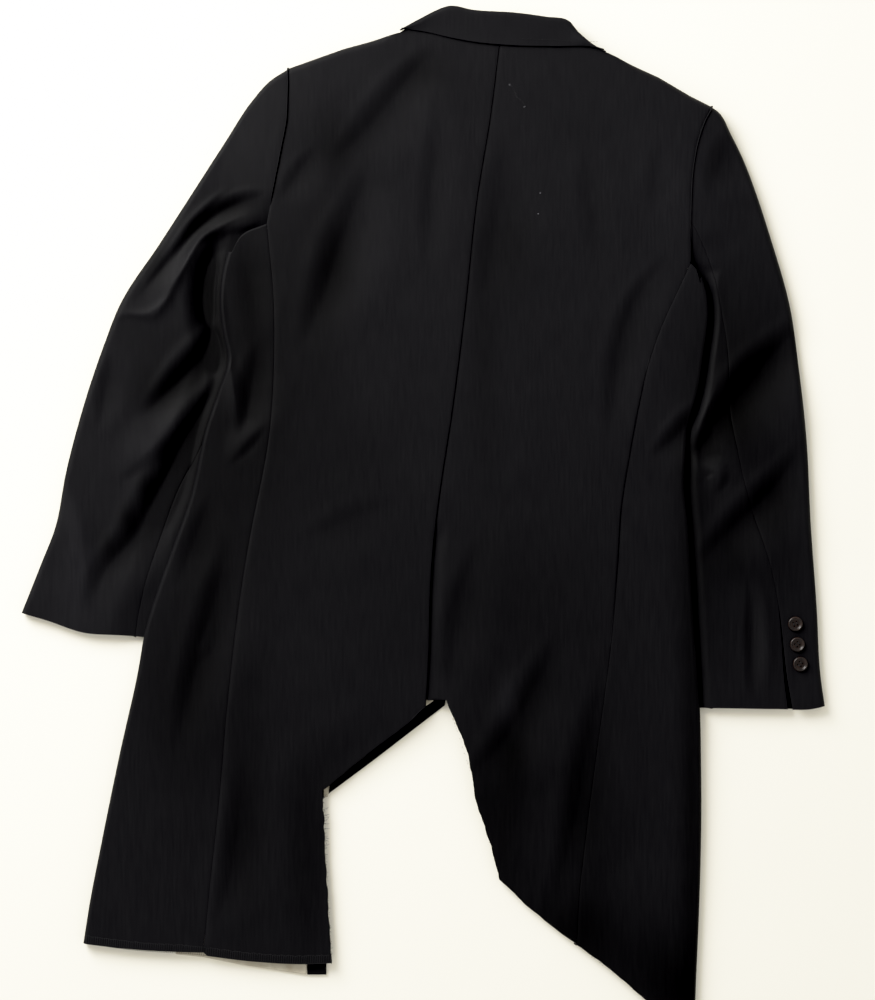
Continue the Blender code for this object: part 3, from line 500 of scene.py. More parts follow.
@dataclass(frozen=True)
class Fold:
    """One fold of the cloth.

    Attributes:
        depth: how deep the trough is; a ridge is less than 0.
        half_width: how far it reaches to each side.
        path: the line that it runs along, each row (down, across).
        lean: from 0 to 1, how much steeper its shaded side is than its lit one.
        profile: its shape across its run.
    """

    depth: float
    half_width: float
    path: Table
    lean: float = 0.42
    profile: Profile = Profile.SOFT

    def line(self) -> Array:
        """The smooth line of the fold, as points (across, down)."""
        steps = (len(self.path) - 1) * PATH_STEPS + 1
        return along(self.path, np.linspace(0.0, 1.0, steps))

    def depth_at(self, points: Array) -> Array:
        """How deep the fold is at each point.

        Args:
            points: places (across, down).

        Returns:
            The depth at each place, in millimetres.
        """
        line = self.line()
        depth = np.zeros(points.shape[:-1])
        reach = self.half_width * FOLD_REACH
        low, high = line.min(axis=0) - reach, line.max(axis=0) + reach
        near = ((points > low) & (points < high)).all(axis=-1)
        if not near.any():
            return depth
        places = points[near]
        starts = run_of(line)
        nearest = np.full(len(places), np.inf)
        share = np.zeros(len(places))
        lit = np.zeros(len(places))
        for i, step in enumerate(np.diff(line, axis=0)):
            length = np.linalg.norm(step)
            way = step / length
            offset = places - line[i]
            run = np.clip(offset @ way, 0.0, length)
            beside = offset - run[:, None] * way
            gap = np.linalg.norm(beside, axis=1)
            closer = gap < nearest
            nearest = np.where(closer, gap, nearest)
            share = np.where(closer, (starts[i] + run) / starts[-1], share)
            lit = np.where(closer, beside @ np.array(LIGHT_WAY) / np.maximum(gap, LIT_FROM), lit)
        steep = self.lean * (1.0 if self.depth > 0 else -1.0)
        fade = soft_step(share / FOLD_FADE) * soft_step((1 - share) / FOLD_FADE)
        width = self.half_width * (FOLD_TIP + (1.0 - FOLD_TIP) * fade)
        across = nearest / (width * (1.0 - steep * lit))
        if self.profile is Profile.CREASE:
            shape = np.exp(-np.sqrt(across * across + CREASE_SOFTNESS) * CREASE_FALL)
        else:
            flank = np.exp(-(((across - FLANK_PLACE) / FLANK_WIDTH) ** 2))
            shape = np.exp(-(across**2)) - FLANK_RISE * flank
        depth[near] = self.depth * shape * fade
        return depth


class Unevenness:
    """Smooth swells of the cloth, the same on each run."""

    def __init__(self, seed: int, size: int = 97) -> None:
        """Lay out the swells of a seed on a lattice that repeats."""
        self.size = size
        self.lattice = np.random.default_rng(seed).uniform(-1.0, 1.0, (size, size))

    def at(self, points: Array, scale: float) -> Array:
        """Swells from -1 to 1 of one scale, in millimetres, at each point.

        Args:
            points: places (across, down).
            scale: how wide a swell is, in millimetres.

        Returns:
            The swell at each place.
        """
        place = points / scale + 1000.0 + scale
        cell = np.floor(place).astype(int)
        t = place - cell
        t = t * t * (3.0 - 2.0 * t)
        i, j = cell[..., 0] % self.size, cell[..., 1] % self.size
        i_next, j_next = (i + 1) % self.size, (j + 1) % self.size
        top = self.lattice[i, j] * (1 - t[..., 0]) + self.lattice[i_next, j] * t[..., 0]
        foot = self.lattice[i, j_next] * (1 - t[..., 0]) + self.lattice[i_next, j_next] * t[..., 0]
        return top * (1 - t[..., 1]) + foot * t[..., 1]

    def swell(self, points: Array, swells: Table = SWELLS) -> Array:
        """Swells of several scales together, in millimetres."""
        return sum(self.at(points, scale) * height for scale, height in swells)


UNEVEN = Unevenness(seed=7)

BODY_FOLDS = (
    Fold(3.2, 19, ((34, 20), (88, -24), (124, -53), (168, -98))),
    Fold(3.8, 20, ((150, -48), (217, -73), (275, -93), (365, -128))),
    Fold(1.6, 18, ((116, 87), (220, 77), (325, 55))),
    Fold(2.6, 14, ((240, 264), (300, 218), (330, 207), (401, 194), (462, 188))),
    Fold(4.2, 13, ((395, 296), (442, 254), (465, 228))),
    Fold(1.8, 16, ((228, -186), (289, -173), (340, -163))),
    Fold(3.0, 13, ((336, -166), (378, -172), (408, -176), (444, -188))),
    Fold(-2.6, 8, ((352, -200), (388, -193), (414, -190), (436, -187)), 0.3),
    Fold(-1.9, 8, ((422, -158), (444, -181), (468, -201))),
    Fold(-1.8, 5, ((236, -194), (262, -201), (288, -204), (314, -203), (347, -200), (370, -196),
                   (400, -191), (440, -186)), 0.3, Profile.CREASE),
    Fold(3.6, 17, ((520, -190), (591, -207), (674, -229), (778, -256))),
    Fold(1.6, 13, ((490, -211), (546, -232), (602, -254))),
    Fold(1.0, 16, ((552, -135), (533, -95), (518, -59), (504, -12))),
    Fold(1.4, 12, ((75, 19), (176, 10), (298, 4))),
    Fold(1.6, 11, ((140, -105), (204, -148))),
    Fold(1.1, 13, ((129, 163), (202, 172), (278, 182))),
    Fold(1.1, 12, ((134, 241), (219, 235))),
    Fold(3.2, 16, ((756, -183), (848, -188), (887, -195), (951, -214))),
    Fold(4.6, 19, ((630, 143), (696, 115), (741, 89), (796, 40))),
    Fold(3.4, 17, ((650, 192), (748, 171), (845, 153), (946, 122))),
    Fold(2.4, 15, ((532, 60), (617, 37), (716, 24))),
    Fold(2.2, 24, ((713, 3), (799, -102), (857, -100), (975, -93)), 0.0),
    Fold(3.6, 34, ((707, 24), (786, 50), (890, 78), (957, 157), (1050, 276)), 0.0),
)
LEFT_SLEEVE_FOLDS = (
    Fold(-5.2, 13, ((212, -168), (218, -194), (228, -210), (237, -226), (251, -234), (271, -246),
                    (287, -256), (305, -264), (315, -275), (315, -287), (313, -301), (316, -310),
                    (330, -325)), 0.45, Profile.CREASE),
    Fold(-2.2, 5, ((212, -176), (219, -195), (230, -217), (246, -232), (262, -240), (282, -250),
                   (300, -261), (308, -270), (314, -284), (314, -299), (318, -312), (330, -324)),
         0.3, Profile.CREASE),
    Fold(-1.6, 6, ((400, -160), (424, -180), (436, -196), (430, -208)), 0.3, Profile.CREASE),
    Fold(2.4, 7, ((180, -182), (194, -204), (220, -228), (249, -250), (273, -270), (305, -297))),
    Fold(5.2, 12, ((192, -152), (204, -194), (218, -217), (233, -234), (268, -258))),
    Fold(8.0, 18, ((214, -206), (262, -216), (300, -221), (362, -222))),
    Fold(8.0, 17, ((300, -166), (336, -204), (371, -238), (424, -290))),
    Fold(8.4, 20, ((335, -150), (402, -213), (455, -246), (500, -270), (538, -292), (578, -324),
                   (612, -334), (645, -328))),
    Fold(2.6, 9, ((236, -206), (290, -216), (335, -213), (380, -209), (425, -232), (470, -246))),
    Fold(-3.0, 14, ((402, -227), (447, -274), (484, -318))),
    Fold(-3.8, 14, ((480, -368), (516, -355), (542, -350), (576, -346), (618, -350))),
    Fold(2.2, 10, ((350, -316), (437, -330))),
)
RIGHT_SLEEVE_FOLDS = (
    Fold(7.4, 21, ((308, 402), (340, 371), (373, 341), (405, 314), (434, 292), (466, 270))),
    Fold(5.4, 18, ((436, 396), (491, 358), (522, 327), (548, 301), (580, 276))),
    Fold(3.0, 18, ((122, 318), (168, 302), (202, 292))),
    Fold(4.0, 15, ((430, 300), (452, 280), (470, 268))),
    Fold(-2.8, 7, ((385, 300), (408, 290), (430, 280), (446, 270)), 0.4, Profile.CREASE),
    Fold(-2.4, 8, ((464, 283), (475, 301), (500, 294))),
    Fold(1.8, 16, ((257, 306), (361, 302))),
    Fold(2.6, 7, ((577, 332), (640, 335), (717, 336))),
    Fold(-1.8, 9, ((580, 346), (650, 350), (717, 353))),
)


def relief(points: Array, folds: Sequence[Fold]) -> Array:
    """What the folds take from the height at each point."""
    return sum(fold.depth_at(points) for fold in folds)


def painted_cloth_shade(points: Array, folds: Sequence[Fold]) -> Array:
    """Painted shade for the wool's colour at each point: darker in fold troughs and shaded patches,
    lighter on ridges, 1 where it is flat and lit.

    Args:
        points: places (across, down).
        folds: the folds whose troughs are painted darker and whose ridges are painted lighter.

    Returns:
        The factor that each place's colour is multiplied by.
    """
    painted_shade = 1.0 - TROUGH_PAINTED_SHADE * np.clip(relief(points, folds) / TROUGH_DEPTH, RIDGE_PAINTED_LIGHT, 1.0)
    for down, across, reach_down, reach_across, taken in PAINTED_SHADE_PARTS:
        gap = (points - (across, down)) / (reach_across, reach_down)
        painted_shade = painted_shade * (1.0 - taken * np.exp(-(gap**2).sum(axis=-1)))
    return painted_shade


def body_height(points: Array) -> Array:
    """The height of the back and side panels' outer face, without the folds.

    Args:
        points: places (across, down).

    Returns:
        The height at each place, in millimetres.
    """
    downs = points[..., 1]
    height = smooth_at(BODY_HEIGHT, downs)
    for pad_down, pad_across, rise in SHOULDER_PADS:
        gap = np.hypot(points[..., 0] - pad_across, downs - pad_down)
        height = height + rise * np.exp(-((gap / PAD_REACH) ** 2))
    return height


def body_surface(points: Array) -> Array:
    """The height of the body's outer face with its folds and swells."""
    return body_height(points) - relief(points, BODY_FOLDS) + UNEVEN.swell(points)


def over_sleeve(downs: Array, cuff_down: float, start_down: float) -> Array:
    """How much of the side's lift there is at each distance down."""
    rise = soft_step((downs - start_down) / LIFT_RISE)
    return rise * (1.0 - soft_step((downs - cuff_down - PAST_CUFF) / LIFT_FALL))


def seam_dip(distance: Array, depth: float = DIP_DEPTH) -> Array:
    """How far pressed cloth dips towards its seam at a distance from it."""
    return depth * np.exp(-distance / DIP_WIDTH)


def scaled(colour: Colour, share: float) -> Colour:
    """A share of a colour."""
    return tuple(share * part for part in colour)


def put(name: str, data: bpy.types.ID) -> bpy.types.Object:
    """Put a mesh, a light or a camera in the scene as an object.

    Args:
        name: the object's name.
        data: what it shows.

    Returns:
        The object.
    """
    item = bpy.data.objects.new(name, data)
    bpy.context.scene.collection.objects.link(item)
    return item


class NodeBench:
    """A material's node tree, with short ways to add and join nodes."""

    def __init__(self, name: str) -> None:
        """Start a new material, with its shader and its place.

        Args:
            name: the material's name.
        """
        self.material = bpy.data.materials.new(name)
        self.material.use_nodes = True
        self.tree = self.material.node_tree
        self.shader = self.tree.nodes["Principled BSDF"]
        self.place = self.add("TexCoord").outputs["Object"]

    def set(self, **values: float | tuple[float, ...]) -> None:
        """Set the shader's sockets, named with underscores for spaces."""
        for name, value in values.items():
            self.shader.inputs[name.replace("_", " ")].default_value = value

    def add(self, kind: str, **inputs: object) -> bpy.types.Node:
        """Add a node and set or join its inputs.

        Args:
            kind: the node's type, without its ShaderNode prefix.
            inputs: a value or an output socket for each input, spaces as underscores.

        Returns:
            The new node.
        """
        node = self.tree.nodes.new(f"ShaderNode{kind}")
        for name, value in inputs.items():
            socket = node.inputs[name.replace("_", " ")]
            if isinstance(value, bpy.types.NodeSocket):
                self.tree.links.new(value, socket)
            else:
                socket.default_value = value
        return node

    def join(self, output: bpy.types.NodeSocket, name: str) -> None:
        """Join an output to one of the shader's sockets."""
        self.tree.links.new(output, self.shader.inputs[name])

    def noise(self, scale: float, detail: float, **inputs: object) -> bpy.types.NodeSocket:
        """The value of a noise over the piece."""
        inputs = {"Vector": self.place, "Scale": scale, "Detail": detail, **inputs}
        return self.add("TexNoise", **inputs).outputs["Fac"]

    def bands(self, scale: float, distortion: float, direction: str = "DIAGONAL",
              **inputs: object) -> bpy.types.NodeSocket:
        """The value of even bands over the piece.

        Args:
            scale: how close together they are.
            distortion: how much they waver.
            direction: the axis that they cross.
            inputs: the node's other inputs.

        Returns:
            The value.
        """
        wave = self.add("TexWave", Vector=self.place, Scale=scale, Distortion=distortion, **inputs)
        wave.bands_direction = direction
        return wave.outputs["Fac"]

    def ramp(self, factor: bpy.types.NodeSocket, low: Sequence[float], high: Sequence[float],
             start: float = 0.3, end: float = 0.7) -> bpy.types.NodeSocket:
        """A colour between two, by a factor.

        Args:
            factor: the socket that drives it.
            low: the colour at start.
            high: the colour at end.
            start: the factor where the colour begins to change.
            end: the factor where it has changed.

        Returns:
            The colour output.
        """
        ramp = self.add("ValToRGB", Fac=factor)
        ramp.color_ramp.elements[0].position = start
        ramp.color_ramp.elements[1].position = end
        ramp.color_ramp.elements[0].color = (*low, 1.0)
        ramp.color_ramp.elements[1].color = (*high, 1.0)
        return ramp.outputs["Color"]

    def bump(self, height: bpy.types.NodeSocket, strength: float, distance: float,
             below: bpy.types.NodeSocket | None = None) -> bpy.types.NodeSocket:
        """A bump from a height, laid on another where one is given.

        Args:
            height: the value that drives it.
            strength: how strong it is.
            distance: how high it is, in metres.
            below: the bump under it.

        Returns:
            The normal output.
        """
        bump = self.add("Bump", Height=height, Strength=strength, Distance=distance)
        if below is not None:
            self.tree.links.new(below, bump.inputs["Normal"])
        return bump.outputs["Normal"]


@dataclass(frozen=True)
class WoolFinish:
    """Black wool suiting: a fine twill with a soft matte face, its colour darkened by painted shade in
    fold troughs and shaded patches and lightened on ridges.
    """

    name: str = "black_wool"
    dark: Colour = (0.0037, 0.0036, 0.0044)
    light: Colour = (0.0060, 0.0059, 0.0068)
    roughness: float = 0.58
    specular: float = 0.05
    sheen: float = 0.004
    twill_scale: float = 430.0
    fibre_scale: float = 1500.0
    slub_scale: tuple[float, ...] = (520.0, 34.0, 60.0)
    cloud_scale: float = 22.0
    cloud_share: float = 0.35
    weave_bump: tuple[float, float] = (0.22, 0.00025)
    fuzz_bump: tuple[float, float] = (0.30, 0.0003)
    slub_bump: tuple[float, float] = (0.12, 0.0006)
    roughness_spread: float = 0.08

    def material(self) -> bpy.types.Material:
        """Build the material.

        Returns:
            The new material.
        """
        bench = NodeBench(self.name)
        twill = bench.bands(self.twill_scale, 1.2, Detail=2.0, Detail_Scale=2.0)
        fibre = bench.noise(self.fibre_scale, 3.0)
        stretched = bench.add("Mapping", Vector=bench.place, Scale=self.slub_scale)
        slub = bench.noise(1.0, 4.0, Vector=stretched.outputs["Vector"])
        mixed = bench.add("Math", Value=bench.noise(self.cloud_scale, 3.0))
        mixed.operation = "MULTIPLY_ADD"
        mixed.inputs[1].default_value = self.cloud_share
        bench.tree.links.new(slub, mixed.inputs[2])
        colour = bench.ramp(mixed.outputs["Value"], self.dark, self.light, 0.35, 1.0)
        # Painted shade: the colour is multiplied by each point's painted shade, darker in fold troughs
        # and shaded patches, lighter on ridges
        painted_shade = bench.add("Attribute")
        painted_shade.attribute_name = PAINTED_SHADE_NAME
        shaded_colour = bench.add("VectorMath")
        shaded_colour.operation = "MULTIPLY"
        bench.tree.links.new(colour, shaded_colour.inputs[0])
        bench.tree.links.new(painted_shade.outputs["Fac"], shaded_colour.inputs[1])
        bench.join(shaded_colour.outputs["Vector"], "Base Color")
        rough = bench.add("MapRange", Value=fibre)
        rough.inputs["To Min"].default_value = self.roughness - self.roughness_spread
        rough.inputs["To Max"].default_value = self.roughness + self.roughness_spread
        bench.join(rough.outputs["Result"], "Roughness")
        weave = bench.bump(twill, *self.weave_bump)
        fuzz = bench.bump(fibre, *self.fuzz_bump, weave)
        bench.join(bench.bump(slub, *self.slub_bump, fuzz), "Normal")
        bench.set(Specular_IOR_Level=self.specular, Sheen_Weight=self.sheen, Sheen_Roughness=0.45,
                  Sheen_Tint=(0.86, 0.86, 1.0, 1.0))
        return bench.material


@dataclass(frozen=True)
class LiningFinish:
    """Smooth cream lining with a little shine."""

    name: str = "cream_lining"
    dark: Colour = (0.34, 0.30, 0.22)
    light: Colour = (0.50, 0.46, 0.36)
    weave_scale: float = 900.0

    def material(self) -> bpy.types.Material:
        """Build the material.

        Returns:
            The new material.
        """
        bench = NodeBench(self.name)
        cloud = bench.noise(90.0, 4.0)
        weave = bench.bands(self.weave_scale, 0.6, "X")
        bench.join(bench.ramp(cloud, self.dark, self.light), "Base Color")
        soft = bench.bump(cloud, 0.5, 0.0008)
        bench.join(bench.bump(weave, 0.15, 0.0001, soft), "Normal")
        bench.set(Roughness=0.5, Specular_IOR_Level=0.3, Sheen_Weight=0.1)
        return bench.material


@dataclass(frozen=True)
class ThreadFinish:
    """Twisted sewing thread or a loose yarn."""

    name: str
    colour: Colour
    roughness: float = 0.6
    twist_scale: float = 900.0

    def material(self) -> bpy.types.Material:
        """Build the material.

        Returns:
            The new material.
        """
        bench = NodeBench(self.name)
        twist = bench.bands(self.twist_scale, 0.8)
        low, high = scaled(self.colour, 0.7), scaled(self.colour, 1.2)
        bench.join(bench.ramp(twist, low, high, 0.2, 0.8), "Base Color")
        bench.join(bench.bump(twist, 0.4, 0.0001), "Normal")
        bench.set(Roughness=self.roughness, Specular_IOR_Level=0.25)
        return bench.material


@dataclass(frozen=True)
class ButtonFinish:
    """Polished dark button with faint brown clouds."""

    name: str = "dark_button"
    dark: Colour = (0.0035, 0.0022, 0.002)
    light: Colour = (0.014, 0.007, 0.005)

    def material(self) -> bpy.types.Material:
        """Build the material.

        Returns:
            The new material.
        """
        bench = NodeBench(self.name)
        cloud = bench.noise(190.0, 5.0, Distortion=1.2)
        bench.join(bench.ramp(cloud, self.dark, self.light, 0.35, 0.75), "Base Color")
        bench.join(bench.bump(bench.noise(2600.0, 2.0), 0.06, 0.0001), "Normal")
        bench.set(Roughness=0.32, Specular_IOR_Level=0.2, Coat_Weight=0.05, Coat_Roughness=0.12)
        return bench.material


@dataclass(frozen=True)
class FloorFinish:
    """The pale surface that the blazer lies on."""

    name: str = "pale_surface"
    colour: Colour = (0.845, 0.808, 0.685)

    def material(self) -> bpy.types.Material:
        """Build the material.

        Returns:
            The new material.
        """
        bench = NodeBench(self.name)
        low = scaled(self.colour, 0.985)
        bench.join(bench.ramp(bench.noise(6.0, 3.0), low, self.colour), "Base Color")
        bench.set(Roughness=0.8, Specular_IOR_Level=0.15)
        return bench.material


class Wardrobe:
    """The finishes, each made into a material once."""

    def __init__(self) -> None:
        """Make each material."""
        self.wool = WoolFinish().material()
        self.lining = LiningFinish().material()
        self.button = ButtonFinish().material()
        self.black_thread = ThreadFinish("black_thread", (0.0045, 0.0045, 0.0055), 0.7).material()
        self.grey_thread = ThreadFinish("loose_yarn", (0.04, 0.04, 0.043), 0.8).material()
        self.lint = ThreadFinish("pale_lint", (0.10, 0.10, 0.11), 0.9).material()
        self.floor = FloorFinish().material()


def world_points(points: Array, heights: Array) -> Array:
    """Points in plan and heights, as positions in metres."""
    return np.stack([points[..., 0], LENGTH / 2 - points[..., 1], heights], axis=-1) * MM


def add_mesh(name: str, verts: Array, faces: list[Sequence[int]],
             material: bpy.types.Material) -> bpy.types.Object:
    """Add a smooth mesh to the scene as a piece with one material.

    Args:
        name: the piece's name.
        verts: its points, in metres.
        faces: its faces' point numbers.
        material: its finish.

    Returns:
        The piece.
    """
    mesh = bpy.data.meshes.new(name)
    mesh.from_pydata(verts.tolist(), [], faces)
    mesh.validate()
    mesh.shade_smooth()
    mesh.materials.append(material)
    return put(name, mesh)


def cloth_shell(name: str, outer: Array, facing: Facing, wall: float,
                material: bpy.types.Material) -> bpy.types.Object:
    """Make a piece of cloth with a thickness and softly rounded edges.

    Args:
        name: the piece's name.
        outer: its outer face, as positions by row and column, in metres.
        facing: which way the outer face of the first columns looks.
        wall: the cloth's thickness, in millimetres.
        material: its finish.

    Returns:
        The piece.
    """
    rows, columns = outer.shape[:2]
    across, down = np.gradient(outer, axis=1), np.gradient(outer, axis=0)
    normal = unit(np.cross(down, across))
    flip = normal[:, :2, 2].mean() * facing.value < 0
    if flip:
        normal = -normal
    inner = outer - normal * (wall * MM)
    inner[..., 2] = np.abs(inner[..., 2])
    grid = np.arange(rows * columns).reshape(rows, columns)
    quads = np.stack([grid[:-1, :-1], grid[1:, :-1], grid[1:, 1:], grid[:-1, 1:]], axis=-1)
    quads = quads.reshape(-1, 4)
    rim = np.concatenate([grid[0, :-1], grid[:-1, -1], grid[-1, :0:-1], grid[:0:-1, 0]])
    flat_outer, flat_inner = outer.reshape(-1, 3), inner.reshape(-1, 3)
    out = np.zeros_like(outer)
    out[0] += outer[0] - outer[1]
    out[-1] += outer[-1] - outer[-2]
    out[:, 0] += outer[:, 0] - outer[:, 1]
    out[:, -1] += outer[:, -1] - outer[:, -2]
    out = unit(out.reshape(-1, 3)[rim])
    middle = (flat_outer[rim] + flat_inner[rim]) / 2 + out * (EDGE_BULGE * MM)
    count = rows * columns
    ring = count * 2 + np.arange(len(rim))
    following, ring_next = np.roll(rim, -1), np.roll(ring, -1)
    strips = np.concatenate([
        np.stack([rim, following, ring_next, ring], axis=-1),
        np.stack([ring, ring_next, following + count, rim + count], axis=-1),
    ])
    faces = np.concatenate([quads, quads[:, ::-1] + count, strips])
    if flip:
        faces = faces[:, ::-1]
    verts = np.concatenate([flat_outer, flat_inner, middle])
    return add_mesh(name, verts, faces.tolist(), material)


@dataclass
class Cut:
    """The flat size of a piece of cloth, measured along its outer face."""

    width: float
    length: float
    area: float

    @classmethod
    def of(cls, outer: Array) -> "Cut":
        """Measure a grid of positions in metres.

        Args:
            outer: the outer face, by row and column.

        Returns:
            Its width, length and area, in metres.
        """
        across = np.linalg.norm(np.diff(outer, axis=1), axis=-1)
        down = np.linalg.norm(np.diff(outer, axis=0), axis=-1)
        first = np.cross(outer[1:, :-1] - outer[:-1, :-1], outer[:-1, 1:] - outer[:-1, :-1])
        second = np.cross(outer[1:, :-1] - outer[1:, 1:], outer[:-1, 1:] - outer[1:, 1:])
        area = (np.linalg.norm(first, axis=-1).sum() + np.linalg.norm(second, axis=-1).sum()) / 2
        width, length = float(across.sum(axis=1).max()), float(down.sum(axis=0).max())
        return cls(width, length, float(min(area, width * length)))


def dress(piece: bpy.types.Object, *nodes: str, slot: str = "wool") -> None:
    """Ride a piece on the blazer and hide the solids it stands for.

    Args:
        piece: the piece.
        nodes: the solids that it replaces.
        slot: not used.
    """
    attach(piece, "root")
    if nodes:
        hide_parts(*nodes)
    LOG.info("%s: %d faces", piece.name, len(piece.data.polygons))


def cloth_piece(node: str, outer: Array, material: bpy.types.Material, *rests_on: str,
                facing: Facing = Facing.UP, wall: float = WALL, slot: str = "wool",
                folds: Sequence[Fold] = BODY_FOLDS) -> None:
    """Args:
        node: the solid that it replaces.
        outer: its outer face, as positions in metres.
        material: its finish.
        rests_on: what it lies on, not used.
        facing: which way the outer face of the first columns looks.
        wall: the thickness in millimetres.
        slot: the name of its material slot, handed on to dress.
        folds: the folds whose troughs are painted darker and whose ridges are painted lighter in its
            colour.
    """
    piece = cloth_shell(f"{node}_cloth", outer, facing, wall, material)
    plan = np.stack([outer[..., 0] / MM, LENGTH / 2 - outer[..., 1] / MM], axis=-1).reshape(-1, 2)
    # Painted shade on the outer face, darker in fold troughs and shaded patches and lighter on ridges;
    # the inner face and edges keep 1
    painted_shade = np.ones(len(piece.data.vertices))
    painted_shade[: len(plan)] = painted_cloth_shade(plan, folds)
    piece.data.attributes.new(PAINTED_SHADE_NAME, "FLOAT", "POINT").data.foreach_set("value", painted_shade)
    dress(piece, node, slot=slot)
    cut = Cut.of(outer)


def tubes(name: str, paths: Sequence[Array], radius: float, sides: int,
          material: bpy.types.Material) -> bpy.types.Object:
    """Make many threads as one mesh.

    Args:
        name: the piece's name.
        paths: each thread's points, as positions in metres.
        radius: the threads' radius, in millimetres.
        sides: how many sides a thread has.
        material: their finish.

    Returns:
        The piece.
    """
    verts, faces, base = [], [], 0
    angles = np.linspace(0.0, 2 * math.pi, sides, endpoint=False)
    for path in paths:
        way = unit(np.gradient(path, axis=0))
        helper = np.where(np.abs(way[:, 2:3]) < 0.9, [[0.0, 0.0, 1.0]], [[1.0, 0.0, 0.0]])
        side = unit(np.cross(way, helper))
        up = np.cross(side, way)
        ring = np.cos(angles)[:, None] * side[:, None] + np.sin(angles)[:, None] * up[:, None]
        verts.append((path[:, None] + ring * (radius * MM)).reshape(-1, 3))
        grid = base + np.arange(len(path) * sides).reshape(len(path), sides)
        turned = np.roll(grid, -1, axis=1)
        walls = np.stack([grid[:-1], turned[:-1], turned[1:], grid[1:]], axis=-1).reshape(-1, 4)
        faces += walls.tolist()
        faces += [grid[0, ::-1].tolist(), grid[-1].tolist()]
        base += len(path) * sides
    return add_mesh(name, np.concatenate(verts), faces, material)


def in_order(mesh: bpy.types.Mesh) -> bpy.types.Mesh:
    """The same mesh with its points and faces sorted, because a cut leaves them in any order.

    Args:
        mesh: the mesh after the cut.

    Returns:
        The sorted mesh, the same on each run.
    """
    places = [tuple(round(part, FINE_PLACES) for part in vertex.co) for vertex in mesh.vertices]
    order = sorted(range(len(places)), key=places.__getitem__)
    rank = {index: number for number, index in enumerate(order)}
    rings = []
    for face in mesh.polygons:
        ring = [rank[index] for index in face.vertices]
        low = ring.index(min(ring))
        rings.append(ring[low:] + ring[:low])
    ordered = bpy.data.meshes.new(mesh.name)
    ordered.from_pydata([mesh.vertices[index].co for index in order], [], sorted(rings))
    return ordered


def raw_edge(table: Table, downs: Array) -> Array:
    """Points of a cut edge, with the small unevenness of cut cloth.

    Args:
        table: the edge, each row (down, across).
        downs: the distances down to read it at.

    Returns:
        The points (across, down), one for each distance.
    """
    edge = at_downs(table, downs, straight=True)
    edge[:, 0] += UNEVEN.swell(edge, EDGE_SWELLS)
    return edge


def neckline(way: int) -> Table:
    """The back's neck edge, from the centre seam to the shoulder, under the collar's fall.

    Args:
        way: the way outwards, -1 or 1.

    Returns:
        The edge, each row (down, across).
    """
    share = np.linspace(0.0, 1.0, 15)
    centre = np.interp(CENTRE_SEAM[0][1], along(COLLAR_EDGE, share)[:, 0], share)
    end = 0.0 if way < 0 else 1.0
    share = np.linspace(centre, end, NECK_POINTS)
    points = along(COLLAR_EDGE, share) * (1 - NECK_INSET) + along(COLLAR_TOP, share) * NECK_INSET
    points[:, 1] -= NECK_TUCK * np.linspace(1.0, 0.0, NECK_POINTS) ** 0.3
    return tuple((float(down), float(across)) for across, down in points)


def vent_step(points: Array) -> Array:
    """How far the right half of the back drops to lie under the left half's vent edge.

    Args:
        points: places (across, down).

    Returns:
        The drop at each place, in millimetres.
    """
    line = smooth_at(CENTRE_SEAM, points[..., 1])
    beside = 1.0 - soft_step((points[..., 0] - line - 1.0) / VENT_WIDTH)
    below = soft_step((points[..., 1] - VENT_TOP + VENT_RUN) / VENT_RUN)
    return (WALL + VENT_GAP) * beside * below


